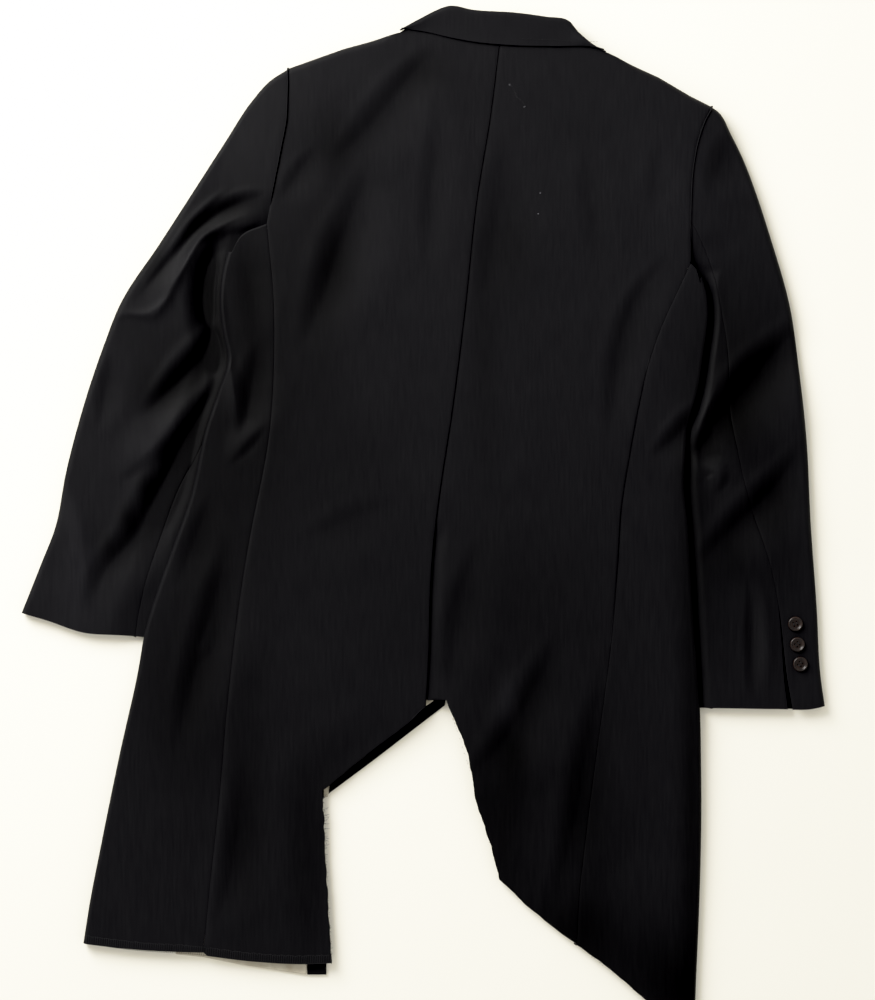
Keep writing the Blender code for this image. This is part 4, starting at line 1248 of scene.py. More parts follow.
@dataclass
class BodyHalf:
    """One half of the body: its back, side panel, front and lapel."""

    side: Side
    rows: Table
    shoulder: Table
    armhole: Table
    hidden_armhole: Table
    underarm: Table
    seam: Table
    edge: Table
    cut: Table
    lapel_edge: Table
    lapel_roll: Table
    front_cut: Table
    cuff: Table
    sleeve_drop: tuple[float, float]

    def __post_init__(self) -> None:
        """Work out the half's side, corners and rows."""
        self.way = self.side.value
        self.name = self.side.name.lower()
        self.neck = neckline(self.way)
        self.corner = self.cut[0][0]
        self.seam_top = self.seam[0][0]
        self.underarm_down = self.underarm[-1][0]
        self.middle_downs = self.middle_rows()
        self.seam_downs = straight_at(self.rows, self.middle_downs)
        self.front_seam = np.zeros((0, 2))

    def middle_rows(self) -> Array:
        """Distances down the middle line, closer at the roll, the cut's corner and the hem.

        Returns:
            The distances, one for each row of the back.
        """
        top = self.neck[0][0]
        centre, outer = np.asarray(self.rows, float).T
        extra = [float(np.interp(self.seam_top, outer, centre))]
        extra += [row[0] for row in (self.cut[0], self.cut[3])]
        start = top + SHOULDER_ROLL * PAST_ROLL
        body = stations(start, centre[-1] - SEAM_STEPS[-1], CELL, extra)
        ends = centre[-1] - np.array(SEAM_STEPS[-2::-1])
        body = np.sort(np.append(body, self.corner - CORNER_STEP))
        return np.concatenate([top + np.array(ROLL_STEPS) * SHOULDER_ROLL, body, ends])

    def middle(self) -> Array:
        """The middle line: the centre seam, then the raw edge of the cut.

        Returns:
            Points (across, down), one for each row.
        """
        downs = self.middle_downs
        seam = at_downs(CENTRE_SEAM, downs)
        seam[:, 0] += self.way * SEAM / 2
        if self.way > 0:
            lapped = soft_step((downs - VENT_TOP - UNDERLAP_START) / UNDERLAP_RUN)
            seam[:, 0] -= VENT_UNDERLAP * lapped
        return np.where((downs < self.corner - ROW_SLACK)[:, None], seam, raw_edge(self.cut, downs))

    def side_back(self) -> Array:
        """The back's outer line: the armhole, then the side-back seam.

        Returns:
            Points (across, down), one for each row.
        """
        downs = self.seam_downs
        above = (downs < self.seam_top)[:, None]
        return np.where(above, at_downs(self.armhole, downs), at_downs(self.seam, downs))

    def half_gap(self, downs: Array) -> Array:
        """Half the side-back seam's gap, which closes towards the hem."""
        closed = soft_step((downs - self.seam[-1][0] + SEAM_CLOSES) / SEAM_CLOSES)
        return (SEAM / 2 * (1.0 - SEAM_CLOSES_BY * closed))[:, None]

    def outline(self, downs: Array) -> Array:
        """How far across the armhole, the underarm and the side edge lie."""
        return smooth_at(self.armhole + self.underarm[1:] + self.edge[1:], downs)

    def build_back(self, wool: bpy.types.Material) -> None:
        """One half of the back.

        Args:
            wool: the wool's material.
        """
        middle = self.middle()
        outer = moved(self.side_back(), self.way * self.half_gap(self.seam_downs))
        if self.way > 0:
            middle[-1] += (middle[-TAIL_CORNER_ROWS] - middle[-1]) * TAIL_CORNER_INNER
        width = np.linalg.norm(outer - middle, axis=1)
        corner = int(np.argmax(self.middle_downs > self.corner - ROW_SLACK))
        near_corner = soft_step((self.middle_downs - self.corner + CORNER_RUN) / CORNER_RUN)
        jump = near_corner * abs(middle[corner, 0] - middle[corner - 1, 0])
        jump[corner:] = 0.0
        shares = seam_shares(width, CELL, jump)
        top = along(self.neck + self.shoulder, shares[0], straight=True)
        top[0], top[-1] = middle[0], outer[0]
        if self.way < 0:
            foot = along(HEM_LEFT, shares[-1] * BACK_HEM_SHARE)
            foot[0], foot[-1] = middle[-1], outer[-1]
        else:
            foot = middle[-1] + (outer[-1] - middle[-1]) * shares[-1][:, None]
        points = spread(middle, outer, top, foot, shares)
        heights = body_surface(points)
        neck_length = length_of(self.neck)
        run = shares[0] * (neck_length + length_of(self.shoulder)) - neck_length
        from_top = points[..., 1] - points[0, :, 1]
        bend = soft_step((run - NECK_CLEAR) / NECK_BLEND) * (1.0 - rolled(from_top, SHOULDER_ROLL))
        heights = heights + (SHOULDER_SEAM_HEIGHT - heights) * bend
        from_middle, from_outer = shares * width[:, None], (1 - shares) * width[:, None]
        sewn = (self.middle_downs < VENT_TOP)[:, None]
        heights -= np.where(sewn, seam_dip(from_middle), seam_dip(from_middle, VENT_DIP))
        heights -= seam_dip(from_outer)
        if self.way > 0:
            heights -= vent_step(points)
        outer_face = world_points(points, heights)
        cloth_piece(f"back_{self.name}", outer_face, wool, f"front_{self.name}_cloth")

    def side_lines(self) -> tuple[Array, Array]:
        """Points on the side panel's seam, which goes on along the cut tail, and on its edge.

        Returns:
            The seam's points and the edge's points, one of each for a row.
        """
        downs = self.seam_downs[self.seam_downs >= self.seam_top - ROW_SLACK]
        inner = moved(at_downs(self.seam, downs), -self.way * self.half_gap(downs))
        edge_foot = self.edge[-1][0] if self.way < 0 else TAIL_EDGE_DOWNS[0] - TAIL_STEP
        edge_downs = np.interp(downs, [downs[0], downs[-1]], [self.underarm_down, edge_foot])
        outer = at_downs(self.edge, edge_downs)
        if self.way > 0:
            count = round((TAIL_CUT_DOWNS[-1] - self.seam[-1][0]) / CELL)
            shares = np.linspace(0.0, 1.0, count + 1)[1:]
            knots = np.linspace(0.0, 1.0, len(TAIL_CUT_DOWNS) + 1)
            cut_downs = np.interp(shares, knots, [self.seam[-1][0], *TAIL_CUT_DOWNS])
            edge_downs = np.interp(shares, knots, [edge_foot, *TAIL_EDGE_DOWNS])
            inner = np.concatenate([inner, raw_edge(CUT_TAIL, cut_downs)])
            outer = np.concatenate([outer, at_downs(self.edge, edge_downs)])
        return inner, outer

    def build_side(self, wool: bpy.types.Material) -> None:
        """The side panel, from the side-back seam round the edge to the side-front seam.

        Args:
            wool: the wool's material.
        """
        inner, outer = self.side_lines()
        width = np.linalg.norm(outer - inner, axis=1)
        roll = np.minimum(SIDE_ROLL, width * SIDE_ROLL_SHARE)[:, None]
        back = np.minimum(RETURN_WIDTH, width * RETURN_SHARE)[:, None]
        into = side_normals(outer) * self.way
        top_edge = outer + into * roll
        shares = seam_shares(width, CELL)
        share = shares[0]
        top = along(self.underarm, share)
        shift = (1 - share)[:, None] * (inner[0] - top[0]) + share[:, None] * (top_edge[0] - top[-1])
        share = shares[-1]
        foot = inner[-1] + (top_edge[-1] - inner[-1]) * share[:, None]
        if self.way < 0:
            foot[:, 1] += HEM_BOW * np.sin(math.pi * share)
        panel = spread(inner, top_edge, top + shift, foot, shares)
        over = over_sleeve(outer[:, 1], self.cuff[0][0], SIDE_LIFT_TOP)
        lift = (SIDE_LIFT * over)[:, None]
        lowest = SIDE_LOWEST + (SIDE_LOWEST_LIFTED - SIDE_LOWEST) * over
        panel_height = np.maximum(body_surface(panel), lowest[:, None])
        panel_height -= seam_dip(shares * width[:, None])
        edge_height = panel_height[:, -1:]
        middle = (edge_height + lift) / 2
        columns, heights = [panel], [panel_height]
        for angle in TURN_ANGLES:
            turn = math.radians(angle)
            columns.append((outer + into * roll * (1 - math.cos(turn)))[:, None, :])
            heights.append(middle + (edge_height - middle) * math.sin(turn))
        for part in RETURN_PARTS:
            columns.append((outer + into * (roll + (back - roll) * part))[:, None, :])
            heights.append(lift)
        self.front_seam = outer + into * (back + FRONT_SEAM)
        points = np.concatenate(columns, axis=1)
        cloth_piece(f"side_{self.name}", world_points(points, np.concatenate(heights, axis=1)), wool,
                    f"front_{self.name}_cloth")

    def front_lines(self) -> tuple[Array, Array, int]:
        """Points down the front's outer and inner edges, and how many lie beside the lapel.

        Returns:
            The outer points, the inner points and the count of rows.
        """
        top = self.shoulder[-1][0]
        armhole = self.armhole + self.hidden_armhole
        start, end = top + SHOULDER_ROLL * PAST_HIDDEN_ROLL, self.underarm_down - ARMHOLE_ROWS_END
        roll = top + np.array(ROLL_STEPS) * SHOULDER_ROLL
        upper = np.concatenate([roll, stations(start, end, HIDDEN_CELL)])
        outer = at_downs(armhole, upper)
        outer[:, 0] -= self.way * ARMHOLE_SEAM * 2
        seam = self.front_seam[::FRONT_ROW_STEP]
        if self.way > 0:
            seam = seam[seam[:, 1] < FRONT_FOOT_RIGHT]
        outer = np.concatenate([outer, seam])
        foot = FRONT_FOOT_LEFT if self.way < 0 else outer[-1, 1]
        inner_downs = np.interp(
            outer[:, 1],
            [outer[0, 1], LAPEL_LEVEL, outer[-1, 1]],
            [self.lapel_edge[0][0], LAPEL_LEVEL, foot],
        )
        for downs in FRONT_CORNERS[self.name]:
            row = int(np.argmin(np.abs(inner_downs - downs[0])))
            inner_downs[row : row + len(downs)] = downs
        break_down = self.lapel_edge[-1][0]
        lapped = smooth_at(CENTRE_SEAM, inner_downs) - self.way * FRONT_LAP
        lap_foot = self.corner - LAP_SHORT[self.name]
        cut = straight_at(self.front_cut, inner_downs)
        across = np.where(inner_downs < lap_foot, lapped, cut)
        across = np.where(inner_downs < break_down, straight_at(self.lapel_edge, inner_downs), across)
        return outer, np.stack([across, inner_downs], axis=1), int((inner_downs < break_down).sum())

    def build_front(self, wool: bpy.types.Material) -> None:
        """The front underneath, from the shoulder to the hem, and the lapel beside it.

        Args:
            wool: the wool's material.
        """
        outer, inner, lapel_rows = self.front_lines()
        width = np.linalg.norm(outer - inner, axis=1)
        shares = seam_shares(width, HIDDEN_CELL)
        top = outer[0] + (inner[0] - outer[0]) * shares[0][:, None]
        shoulder = np.asarray(self.shoulder, float)
        order = np.argsort(shoulder[:, 1])
        top[:, 1] = np.interp(top[:, 0], shoulder[order, 1], shoulder[order, 0])
        inner[: len(ROLL_STEPS), 1] += top[-1, 1] - inner[0, 1]
        foot = outer[-1] + (inner[-1] - outer[-1]) * shares[-1][:, None]
        points = spread(outer, inner, top, foot, shares)
        from_seam = np.abs(points[..., 0] - outer[:, :1])
        lift_top = self.underarm_down - ARMHOLE_ROWS_END - PAST_CUFF
        over = over_sleeve(points[..., 1], self.cuff[0][0], lift_top)
        heights = SIDE_LIFT * over * (1.0 - soft_step(from_seam / FRONT_RAMP))
        if self.way > 0:
            past_lap = points[..., 0] - smooth_at(CENTRE_SEAM, points[..., 1]) - FRONT_LAP - LAP_CLEAR
            lapped = 1.0 - soft_step(past_lap / LAP_RAMP)
            heights += (WALL + LAP) * lapped * soft_step((points[..., 1] - LAP_TOP) / LAP_RISE)
        from_top = points[..., 1] - points[0, :, 1]
        heights += (SHOULDER_SEAM_HEIGHT - SHOULDER_SEAM) * (1.0 - rolled(from_top, SHOULDER_ROLL))
        cloth_piece(f"front_{self.name}", world_points(points, heights), wool, "floor",
                    facing=Facing.DOWN)
        self.build_lapel(inner[len(ROLL_STEPS) : lapel_rows], wool)

    def build_lapel(self, beside: Array, wool: bpy.types.Material) -> None:
        """The folded lapel with the collar's end, flat underneath beside its front.

        Args:
            beside: the front's inner points that the lapel lies against.
            wool: the wool's material.
        """
        reach = (beside[:, 1] - beside[0, 1]) / (self.lapel_edge[-1][0] - beside[0, 1])
        roll_top, roll_foot = self.lapel_roll
        start = roll_top[0] + LAPEL_INSET
        roll_downs = start + reach * (roll_foot[0] - start)
        inner = at_downs(self.lapel_roll, roll_downs, straight=True)
        edge = beside - np.array([self.way * SEAM, 0.0])
        share = np.linspace(0.0, 1.0, LAPEL_COLUMNS)[None, :, None]
        points = edge[:, None] * (1 - share) + inner[:, None] * share
        outer = world_points(points, np.zeros(points.shape[:2]))
        cloth_piece(f"lapel_{self.name}", outer, wool, "floor", facing=Facing.DOWN)

    def build(self, wardrobe: Wardrobe) -> None:
        """The whole half, with the side before the front, whose seam follows it.

        Args:
            wardrobe: the finishes.
        """
        self.build_back(wardrobe.wool)
        self.build_side(wardrobe.wool)
        self.build_front(wardrobe.wool)


def left_half() -> BodyHalf:
    """The left half of the body, with its squared tail.

    Returns:
        The half, with its outlines.
    """
    return BodyHalf(
        side=Side.LEFT,
        rows=((33, 63), (232, 205), (500, 470), (713, 692), (799, 783), (975, 964)),
        shoulder=((27, -22), (43, -81), (63, -137)),
        armhole=((63, -137), (91, -138), (116, -139), (143, -144), (195, -154), (222, -159)),
        hidden_armhole=((240, -165), (256, -173)),
        underarm=((222, -159), (234, -188), (250, -199)),
        seam=(
            (222, -159), (243, -157), (287, -153), (388, -153), (439, -157), (480, -164),
            (523, -173), (605, -187), (707, -199), (809, -208), (911, -219), (964, -224),
        ),
        edge=(
            (250, -199), (269, -204), (305, -207), (332, -204), (360, -199), (396, -210),
            (425, -220), (503, -238), (554, -256), (596, -271), (631, -282), (678, -291),
            (758, -309), (860, -330), (911, -340), (955, -347),
        ),
        cut=((713, 3), (730, -15), (762, -57), (799, -102), (857, -100), (926, -96), (975, -93)),
        lapel_edge=((35, -39), (115, -73), (248, -24), (335, 26)),
        lapel_roll=((36, -15), (335, 31)),
        front_cut=(
            (688, 17), (703, 23), (713, 22), (733, -4), (767, -48), (802, -95), (811, -105),
            (857, -105), (970, -100),
        ),
        cuff=((646, -262), (643, -284), (641, -307), (638, -347), (626, -383), (618, -410)),
        sleeve_drop=(186, 64),
    )


def right_half() -> BodyHalf:
    """The right half of the body, with its pointed tail.

    Returns:
        The half, with its outlines.
    """
    return BodyHalf(
        side=Side.RIGHT,
        rows=(
            (33, 102), (240, 262), (500, 522), (640, 648), (707, 708), (786, 792), (890, 893),
            (937, 940), (957, 957),
        ),
        shoulder=((48, 187), (72, 240), (91, 272), (102, 294)),
        armhole=((102, 294), (119, 286), (140, 279), (161, 275), (214, 272), (262, 272)),
        hidden_armhole=((284, 268), (304, 262)),
        underarm=((262, 272), (268, 280), (276, 284)),
        seam=(
            (262, 272), (284, 262), (328, 242), (366, 229), (405, 220), (465, 209), (509, 202),
            (569, 198), (652, 191), (707, 184), (774, 175), (845, 166), (907, 159), (957, 157),
        ),
        edge=(
            (276, 284), (284, 287), (310, 291), (337, 289), (350, 287), (390, 281), (428, 271),
            (460, 268), (491, 267), (522, 270), (564, 273), (616, 276), (713, 282), (832, 284),
            (916, 282), (1013, 278), (1050, 277),
        ),
        cut=(
            (707, 24), (740, 38), (763, 46), (786, 50), (805, 52), (833, 62), (857, 69),
            (890, 78), (913, 101), (937, 130), (957, 157),
        ),
        lapel_edge=((56, 205), (125, 250), (258, 155), (335, 58)),
        lapel_roll=((52, 180), (335, 52)),
        front_cut=((708, 28), (763, 50), (833, 66), (890, 83), (957, 165), (1000, 216)),
        cuff=((715, 258), (715, 284), (716, 362), (716, 396), (713, 410)),
        sleeve_drop=(226, 64),
    )


@dataclass
class Sleeve:
    """A two-piece sleeve, a flattened tube from the armhole to its open cuff."""

    half: BodyHalf
    outer: Table
    hidden: Table
    seam_places: Table
    folds: tuple[Fold, ...]
    tuck_clear: float = 5.0
    tuck_reach: float = 32.0
    slit: Table = ((0.0, 0.0), (1.0, 0.0))

    def __post_init__(self) -> None:
        """Work out the sleeve's two edges and its width at each row."""
        self.way = self.half.way
        self.armhole = (self.half.armhole + self.half.hidden_armhole)[::-1]
        self.share = close_ends(0.0, length_of(self.outer), SLEEVE_CELL) / length_of(self.outer)
        self.outer_line = along(self.outer, self.share)
        tucked = tuple(
            (down, across - self.way * TUCK_WIDTH)
            for down, across in self.half.edge if down > self.hidden[-1][0]
        )
        top, foot = self.armhole[0][0], self.half.cuff[0][0]
        self.inner_line = at_downs(self.hidden + tucked, top + (foot - top) * self.share**UNDERARM_FAN)
        self.outer_line[0, 0] += self.way * (ARMHOLE_SEAM / 2 + SHOULDER_SEAM)
        self.inner_line[0] = self.armhole[0][::-1]
        self.inner_line[-1] = self.half.cuff[0][::-1]
        self.width = np.linalg.norm(self.outer_line - self.inner_line, axis=1)[:, None]

    def points(self, shares: Array) -> Array:
        """Points at shares across each row, from the hidden inner edge to the outer edge.

        Args:
            shares: shares by row and column.

        Returns:
            Points (across, down) by row and column.
        """
        start = along(self.armhole, shares[0])
        at_shoulder = soft_step((shares[0] - SHOULDER_FROM) / SHOULDER_OVER)
        start[:, 0] += self.way * (ARMHOLE_SEAM / 2 + SHOULDER_SEAM * at_shoulder)
        start[shares[0] == 0.0] = self.inner_line[0]
        foot = along(self.half.cuff, shares[-1])
        return spread(self.inner_line, self.outer_line, start, foot, shares)

    def edges(self, shares: Array) -> tuple[Array, Array]:
        """How far the rounded edges have risen, and the height in the middle of the tube.

        Args:
            shares: shares by row and column.

        Returns:
            The rise from 0 to 1, and the height in millimetres.
        """
        from_inner = shares * self.width
        rise = rolled(from_inner, SIDE_ROLL) * rolled((1 - shares) * self.width, SLEEVE_ROLL)
        inner, outer = TUCK_HEIGHT / 2, SLEEVE_EDGE_HEIGHT
        return rise, inner + (outer - inner) * soft_step(from_inner / EDGE_BLEND)

    def upper_height(self, points: Array, shares: Array) -> Array:
        """The outer face of the upper wall, which dips under the body's side edge.

        Args:
            points: points by row and column.
            shares: their shares across each row.

        Returns:
            The heights by row and column.
        """
        downs = points[..., 1]
        across = self.half.outline(downs)
        outside = self.way * (points[..., 0] - across)
        beside = np.stack([across, downs], axis=-1)
        seam = body_height(beside) - relief(beside, BODY_FOLDS)
        tucked = soft_step((downs - self.half.sleeve_drop[0]) / self.half.sleeve_drop[1])
        seam = seam - (seam - TUCK_HEIGHT) * tucked
        reach = CROWN_REACH_FREE + (self.tuck_reach - CROWN_REACH_FREE) * tucked
        crown = SLEEVE_CROWN - (SLEEVE_CROWN - CUFF_CROWN) * soft_step(self.share)[:, None]
        height = seam + (crown - seam) * soft_step((outside - self.tuck_clear * tucked) / reach)
        inward = soft_step(outside / SLEEVE_FOLD_FADE)
        height = height - relief(points, self.folds) * inward + UNEVEN.swell(points) * inward
        height = np.maximum(height, SLEEVE_LOWEST)
        rise, middle = self.edges(shares)
        return middle + (height - middle) * rise

    def build_piece(self, part: str, seam: tuple[Array, Array], edge_shares: Array,
                    wool: bpy.types.Material) -> None:
        """One piece, from the seam that shows over its edge to the seam underneath.

        Args:
            part: the piece's name in its node, top or under.
            seam: the shares of the seam that shows and of the one underneath.
            edge_shares: the shares round its outer or inner edge.
            wool: its finish.
        """
        over, under = seam
        bend = edge_shares[:, -1:]
        steps = np.array(SEAM_STEPS)[None, :-1] / self.width * np.sign(bend - over)
        count = columns_over(np.abs(bend - over) * self.width, SLEEVE_CELL)
        inner = over + steps[:, -1:]
        fine = inner + (bend - inner) * np.linspace(0.0, 1.0, count)[None, :-1]
        upper = np.concatenate([over + steps[:, :-1], fine, edge_shares[:, ::-1]], axis=1)
        count = columns_over(np.abs(bend - under) * self.width, HIDDEN_CELL)
        lower = under + (bend - under) * np.linspace(0.0, 1.0, count)[None, :-1]
        lower = np.concatenate([edge_shares[:, 1:], lower[:, ::-1]], axis=1)
        upper_points, lower_points = self.points(upper), self.points(lower)
        rise, middle = self.edges(lower)
        dip = seam_dip(np.abs(upper - over) * self.width)
        heights = [self.upper_height(upper_points, upper) - dip, middle * (1 - rise)]
        points = np.concatenate([upper_points, lower_points], axis=1)
        cloth_piece(f"sleeve_{self.half.name}_{part}", world_points(points, np.concatenate(heights, 1)),
                    wool, "floor", f"side_{self.half.name}_cloth", folds=self.folds)

    def build(self, wardrobe: Wardrobe) -> None:
        """Both pieces of the sleeve.

        Args:
            wardrobe: the finishes.
        """
        half_gap = SEAM / 2 / self.width
        over = smooth_at(self.seam_places, self.share)[:, None]
        under = np.full_like(over, UNDER_SEAM_SHARE)
        steps = np.array(ROLL_STEPS)[None, :]
        outer_edge = 1.0 - steps * SLEEVE_ROLL / self.width
        inner_edge = steps * SIDE_ROLL / self.width
        self.build_piece("top", (over + half_gap, under + half_gap), outer_edge, wardrobe.wool)
        opening = straight_at(self.slit, self.share)[:, None] / self.width
        inner_seam = over - half_gap - opening
        self.build_piece("under", (inner_seam, under - half_gap), inner_edge, wardrobe.wool)

    def reader(self) -> Callable[[float, float], float]:
        """A function that reads the height of the upper wall at a place (across, down).

        Returns:
            The function.
        """
        share = np.linspace(0.0, 1.0, READ_COLUMNS)
        shares = np.broadcast_to(share, (len(self.share), READ_COLUMNS))
        points = self.points(shares)
        heights = self.upper_height(points, shares)

        def read(across: float, down: float) -> float:
            """The height at a place, from the points nearest to it."""
            gap = np.hypot(points[..., 0] - across, points[..., 1] - down)
            weight = 1.0 / (gap + READ_NEAR) ** READ_POWER
            return float((heights * weight).sum() / weight.sum())

        return read


def left_sleeve(half: BodyHalf) -> Sleeve:
    """The left sleeve, with its deep folds at the elbow.

    Args:
        half: the left half of the body.

    Returns:
        The sleeve.
    """
    return Sleeve(
        half=half,
        outer=(
            (63, -138), (76, -158), (95, -175), (139, -204), (195, -240), (240, -269),
            (305, -311), (343, -326), (416, -350), (474, -365), (531, -376), (570, -391),
            (618, -410),
        ),
        hidden=((256, -173), (292, -187)),
        seam_places=(
            (0.0, 0.16), (0.3, 0.13), (0.6, 0.12), (0.68, 0.18), (0.75, 0.25), (0.82, 0.27),
            (0.9, 0.26), (1.0, 0.205),
        ),
        folds=LEFT_SLEEVE_FOLDS,
    )


def right_sleeve(half: BodyHalf) -> Sleeve:
    """The right sleeve, whose cuff shows its vent and buttons.

    Args:
        half: the right half of the body.

    Returns:
        The sleeve.
    """
    return Sleeve(
        half=half,
        outer=(
            (102, 295), (107, 302), (130, 315), (152, 326), (191, 341), (231, 354), (310, 376),
            (367, 384), (442, 392), (526, 396), (612, 402), (684, 406), (713, 410),
        ),
        hidden=((304, 262), (330, 267)),
        seam_places=(
            (0.0, 0.40), (0.3, 0.43), (0.5, 0.48), (0.65, 0.58), (0.77, 0.70), (1.0, 0.775),
        ),
        folds=RIGHT_SLEEVE_FOLDS,
        tuck_clear=0.5,
        tuck_reach=12.0,
        slit=((0.0, 0.0), (0.83, 0.0), (0.9, 0.9), (1.0, 4.6)),
    )


@dataclass
class Collar:
    """The collar: its fall on the back, rolled over at the top into the stand."""

    columns: int = 84
    rows: int = 10
    rows_from: float = 0.18
    roll_share: float = 0.4
    swell_rise: float = 4.0
    stitch_length: float = 2.0
    stitch_gap: float = 0.9
    stitch_points: int = 5
    stitch_rise: float = 0.16
    stitch_clear: float = 0.05
    stitch_radius: float = 0.16
    stitch_line: Table = ((34.5, 100), (36, 140), (37.5, 178))

    def build_cloth(self, wool: bpy.types.Material) -> None:
        """The cloth of the fall and the stand.

        Args:
            wool: the wool's material.
        """
        share = np.linspace(0.0, 1.0, self.columns)
        edge, top = along(COLLAR_EDGE, share), along(COLLAR_TOP, share)
        width = np.linalg.norm(edge - top, axis=1)[:, None]
        roll = np.minimum(COLLAR_ROLL, width * self.roll_share)
        way = (edge - top) / width
        full = soft_step((width - COLLAR_NARROW) / COLLAR_WIDEN)
        crest = body_height(edge)[:, None] + COLLAR_LIFT + COLLAR_TIP_RISE * (1.0 - full)
        low = crest - COLLAR_TIP_DEPTH - COLLAR_FULL_DEPTH * full
        lines, heights = [], []
        for part in (*COLLAR_EDGE_PARTS, *np.linspace(self.rows_from, 1.0, self.rows)):
            line = edge + (top + way * roll - edge) * part
            lines.append(line)
            here = body_height(line)[:, None] + COLLAR_LIFT
            swell = UNEVEN.swell(line, COLLAR_SWELLS)[:, None]
            swell = swell * min(1.0, part * self.swell_rise) * (1 - part)
            heights.append(here + (crest - here) * part + swell)
        middle = (crest + low) / 2
        for angle in TURN_ANGLES:
            turn = math.radians(angle)
            lines.append(top + way * roll * (1 - math.cos(turn)))
            heights.append(middle + (crest - middle) * math.sin(turn))
        stand_width = width * (1 - NECK_INSET) - COLLAR_ENDS_SHORT - roll
        for part, rise in STAND_RISE:
            lines.append(top + way * (roll + stand_width * part))
            heights.append(low + rise * full)
        points = np.stack(lines, axis=1)
        outer = world_points(points, np.concatenate(heights, axis=1))
        cloth_piece("collar", outer, wool, "back_left_cloth", "back_right_cloth")

    def build_stitches(self, thread: bpy.types.Material) -> None:
        """The faint line of stitches above the fall's lower edge.

        Args:
            thread: the thread's material.
        """
        length = length_of(self.stitch_line)
        step = self.stitch_length + self.stitch_gap
        part = np.linspace(0.0, 1.0, self.stitch_points)
        rise = np.sin(np.linspace(0.0, math.pi, self.stitch_points)) * self.stitch_rise
        paths = []
        for start in np.arange(0.0, length - self.stitch_length, step):
            points = along(self.stitch_line, (start + part * self.stitch_length) / length)
            height = body_height(points) + COLLAR_LIFT + self.stitch_clear
            paths.append(world_points(points, height + rise))
        dress(tubes("collar_stitches", paths, self.stitch_radius, 6, thread))

    def build(self, wardrobe: Wardrobe) -> None:
        """The collar and its stitches."""
        self.build_cloth(wardrobe.wool)
        self.build_stitches(wardrobe.black_thread)


@dataclass
class CutTrim:
    """The cream linings and the black facing that show past the cut edges."""

    height: float = 3.1
    cell: float = 2.5
    rows: int = 13

    def build_strip(self, node: str, top: Table, foot: Table, slot: str,
                    material: bpy.types.Material, ripple: float) -> None:
        """A strip of cloth between two lines, lying on the front.

        Args:
            node: the solid that it replaces.
            top: its upper line.
            foot: its lower line.
            slot: the name of its material slot, handed on to cloth_piece.
            material: its finish.
            ripple: how high its small waves are.
        """
        length = max(length_of(top), length_of(foot))
        share = close_ends(0.0, length, self.cell) / length
        upper, lower = along(top, share, straight=True), along(foot, share, straight=True)
        rows = np.linspace(0.0, 1.0, self.rows)[:, None, None]
        points = upper[None] * (1 - rows) + lower[None] * rows
        heights = self.height + ripple * UNEVEN.swell(points, STRIP_SWELLS)
        cloth_piece(node, world_points(points, heights), material, "front_left_cloth",
                    wall=LINING_WALL, slot=slot)

    def build(self, wardrobe: Wardrobe) -> None:
        """All three strips.

        Args:
            wardrobe: the finishes.
        """
        self.build_strip("lining_hem", LINING_HEM_TOP, LINING_HEM_FOOT, "lining", wardrobe.lining, 0.22)
        self.build_strip("facing_tab", FACING_TAB_TOP, FACING_TAB_FOOT, "wool", wardrobe.wool, 0.1)
        self.build_strip("lining_cut", LINING_CUT_TOP, LINING_CUT_FOOT, "lining", wardrobe.lining, 0.12)


@dataclass
class HemBand:
    """The overlocked stitches along the left tail's hem."""

    seed: int = 11
    pitch: float = 2.3
    reach: float = 8.6
    reach_spread: tuple[float, float] = (0.93, 1.07)
    slant: float = 0.35
    slant_spread: tuple[float, float] = (-0.25, 0.25)
    radius: float = 0.15
    rise: float = 0.12
    clear: float = 0.02
    foot_tuck: float = 0.5
    top_clear: float = 0.06
    edge_clear: float = 0.05
    edge_inset: float = 0.35
    ends: tuple[float, float] = (0.006, 0.985)

    def line(self) -> Array:
        """Points along the whole hem of the left tail, as (across, down)."""
        count = round(length_of(HEM_LEFT) / self.pitch)
        return along(HEM_LEFT, np.linspace(*self.ends, count))

    def build(self, wardrobe: Wardrobe) -> None:
        """Short upright stitches, joined at the top by the needle's thread.

        Args:
            wardrobe: the finishes.
        """
        rng = np.random.default_rng(self.seed)
        line = self.line()
        inward = np.array([0.0, -1.0])
        part = np.linspace(0.0, 1.0, 7)
        paths, tops = [], []
        for place in line:
            reach = self.reach * rng.uniform(*self.reach_spread)
            slant = rng.uniform(*self.slant_spread) + self.slant
            points = place + part[:, None] * reach * inward + np.stack([part * slant, part * 0], axis=1)
            heights = body_surface(points) + self.clear + self.rise * np.sin(part * math.pi)
            heights[0] -= self.foot_tuck
            paths.append(world_points(points, heights))
            tops.append(points[-1])
        top = np.array(tops)
        paths.append(world_points(top, body_surface(top) + self.top_clear))
        edge = line + inward * self.edge_inset
        paths.append(world_points(edge, body_surface(edge) + self.edge_clear))
        dress(tubes("hem_overlock", paths, self.radius, 6, wardrobe.black_thread))


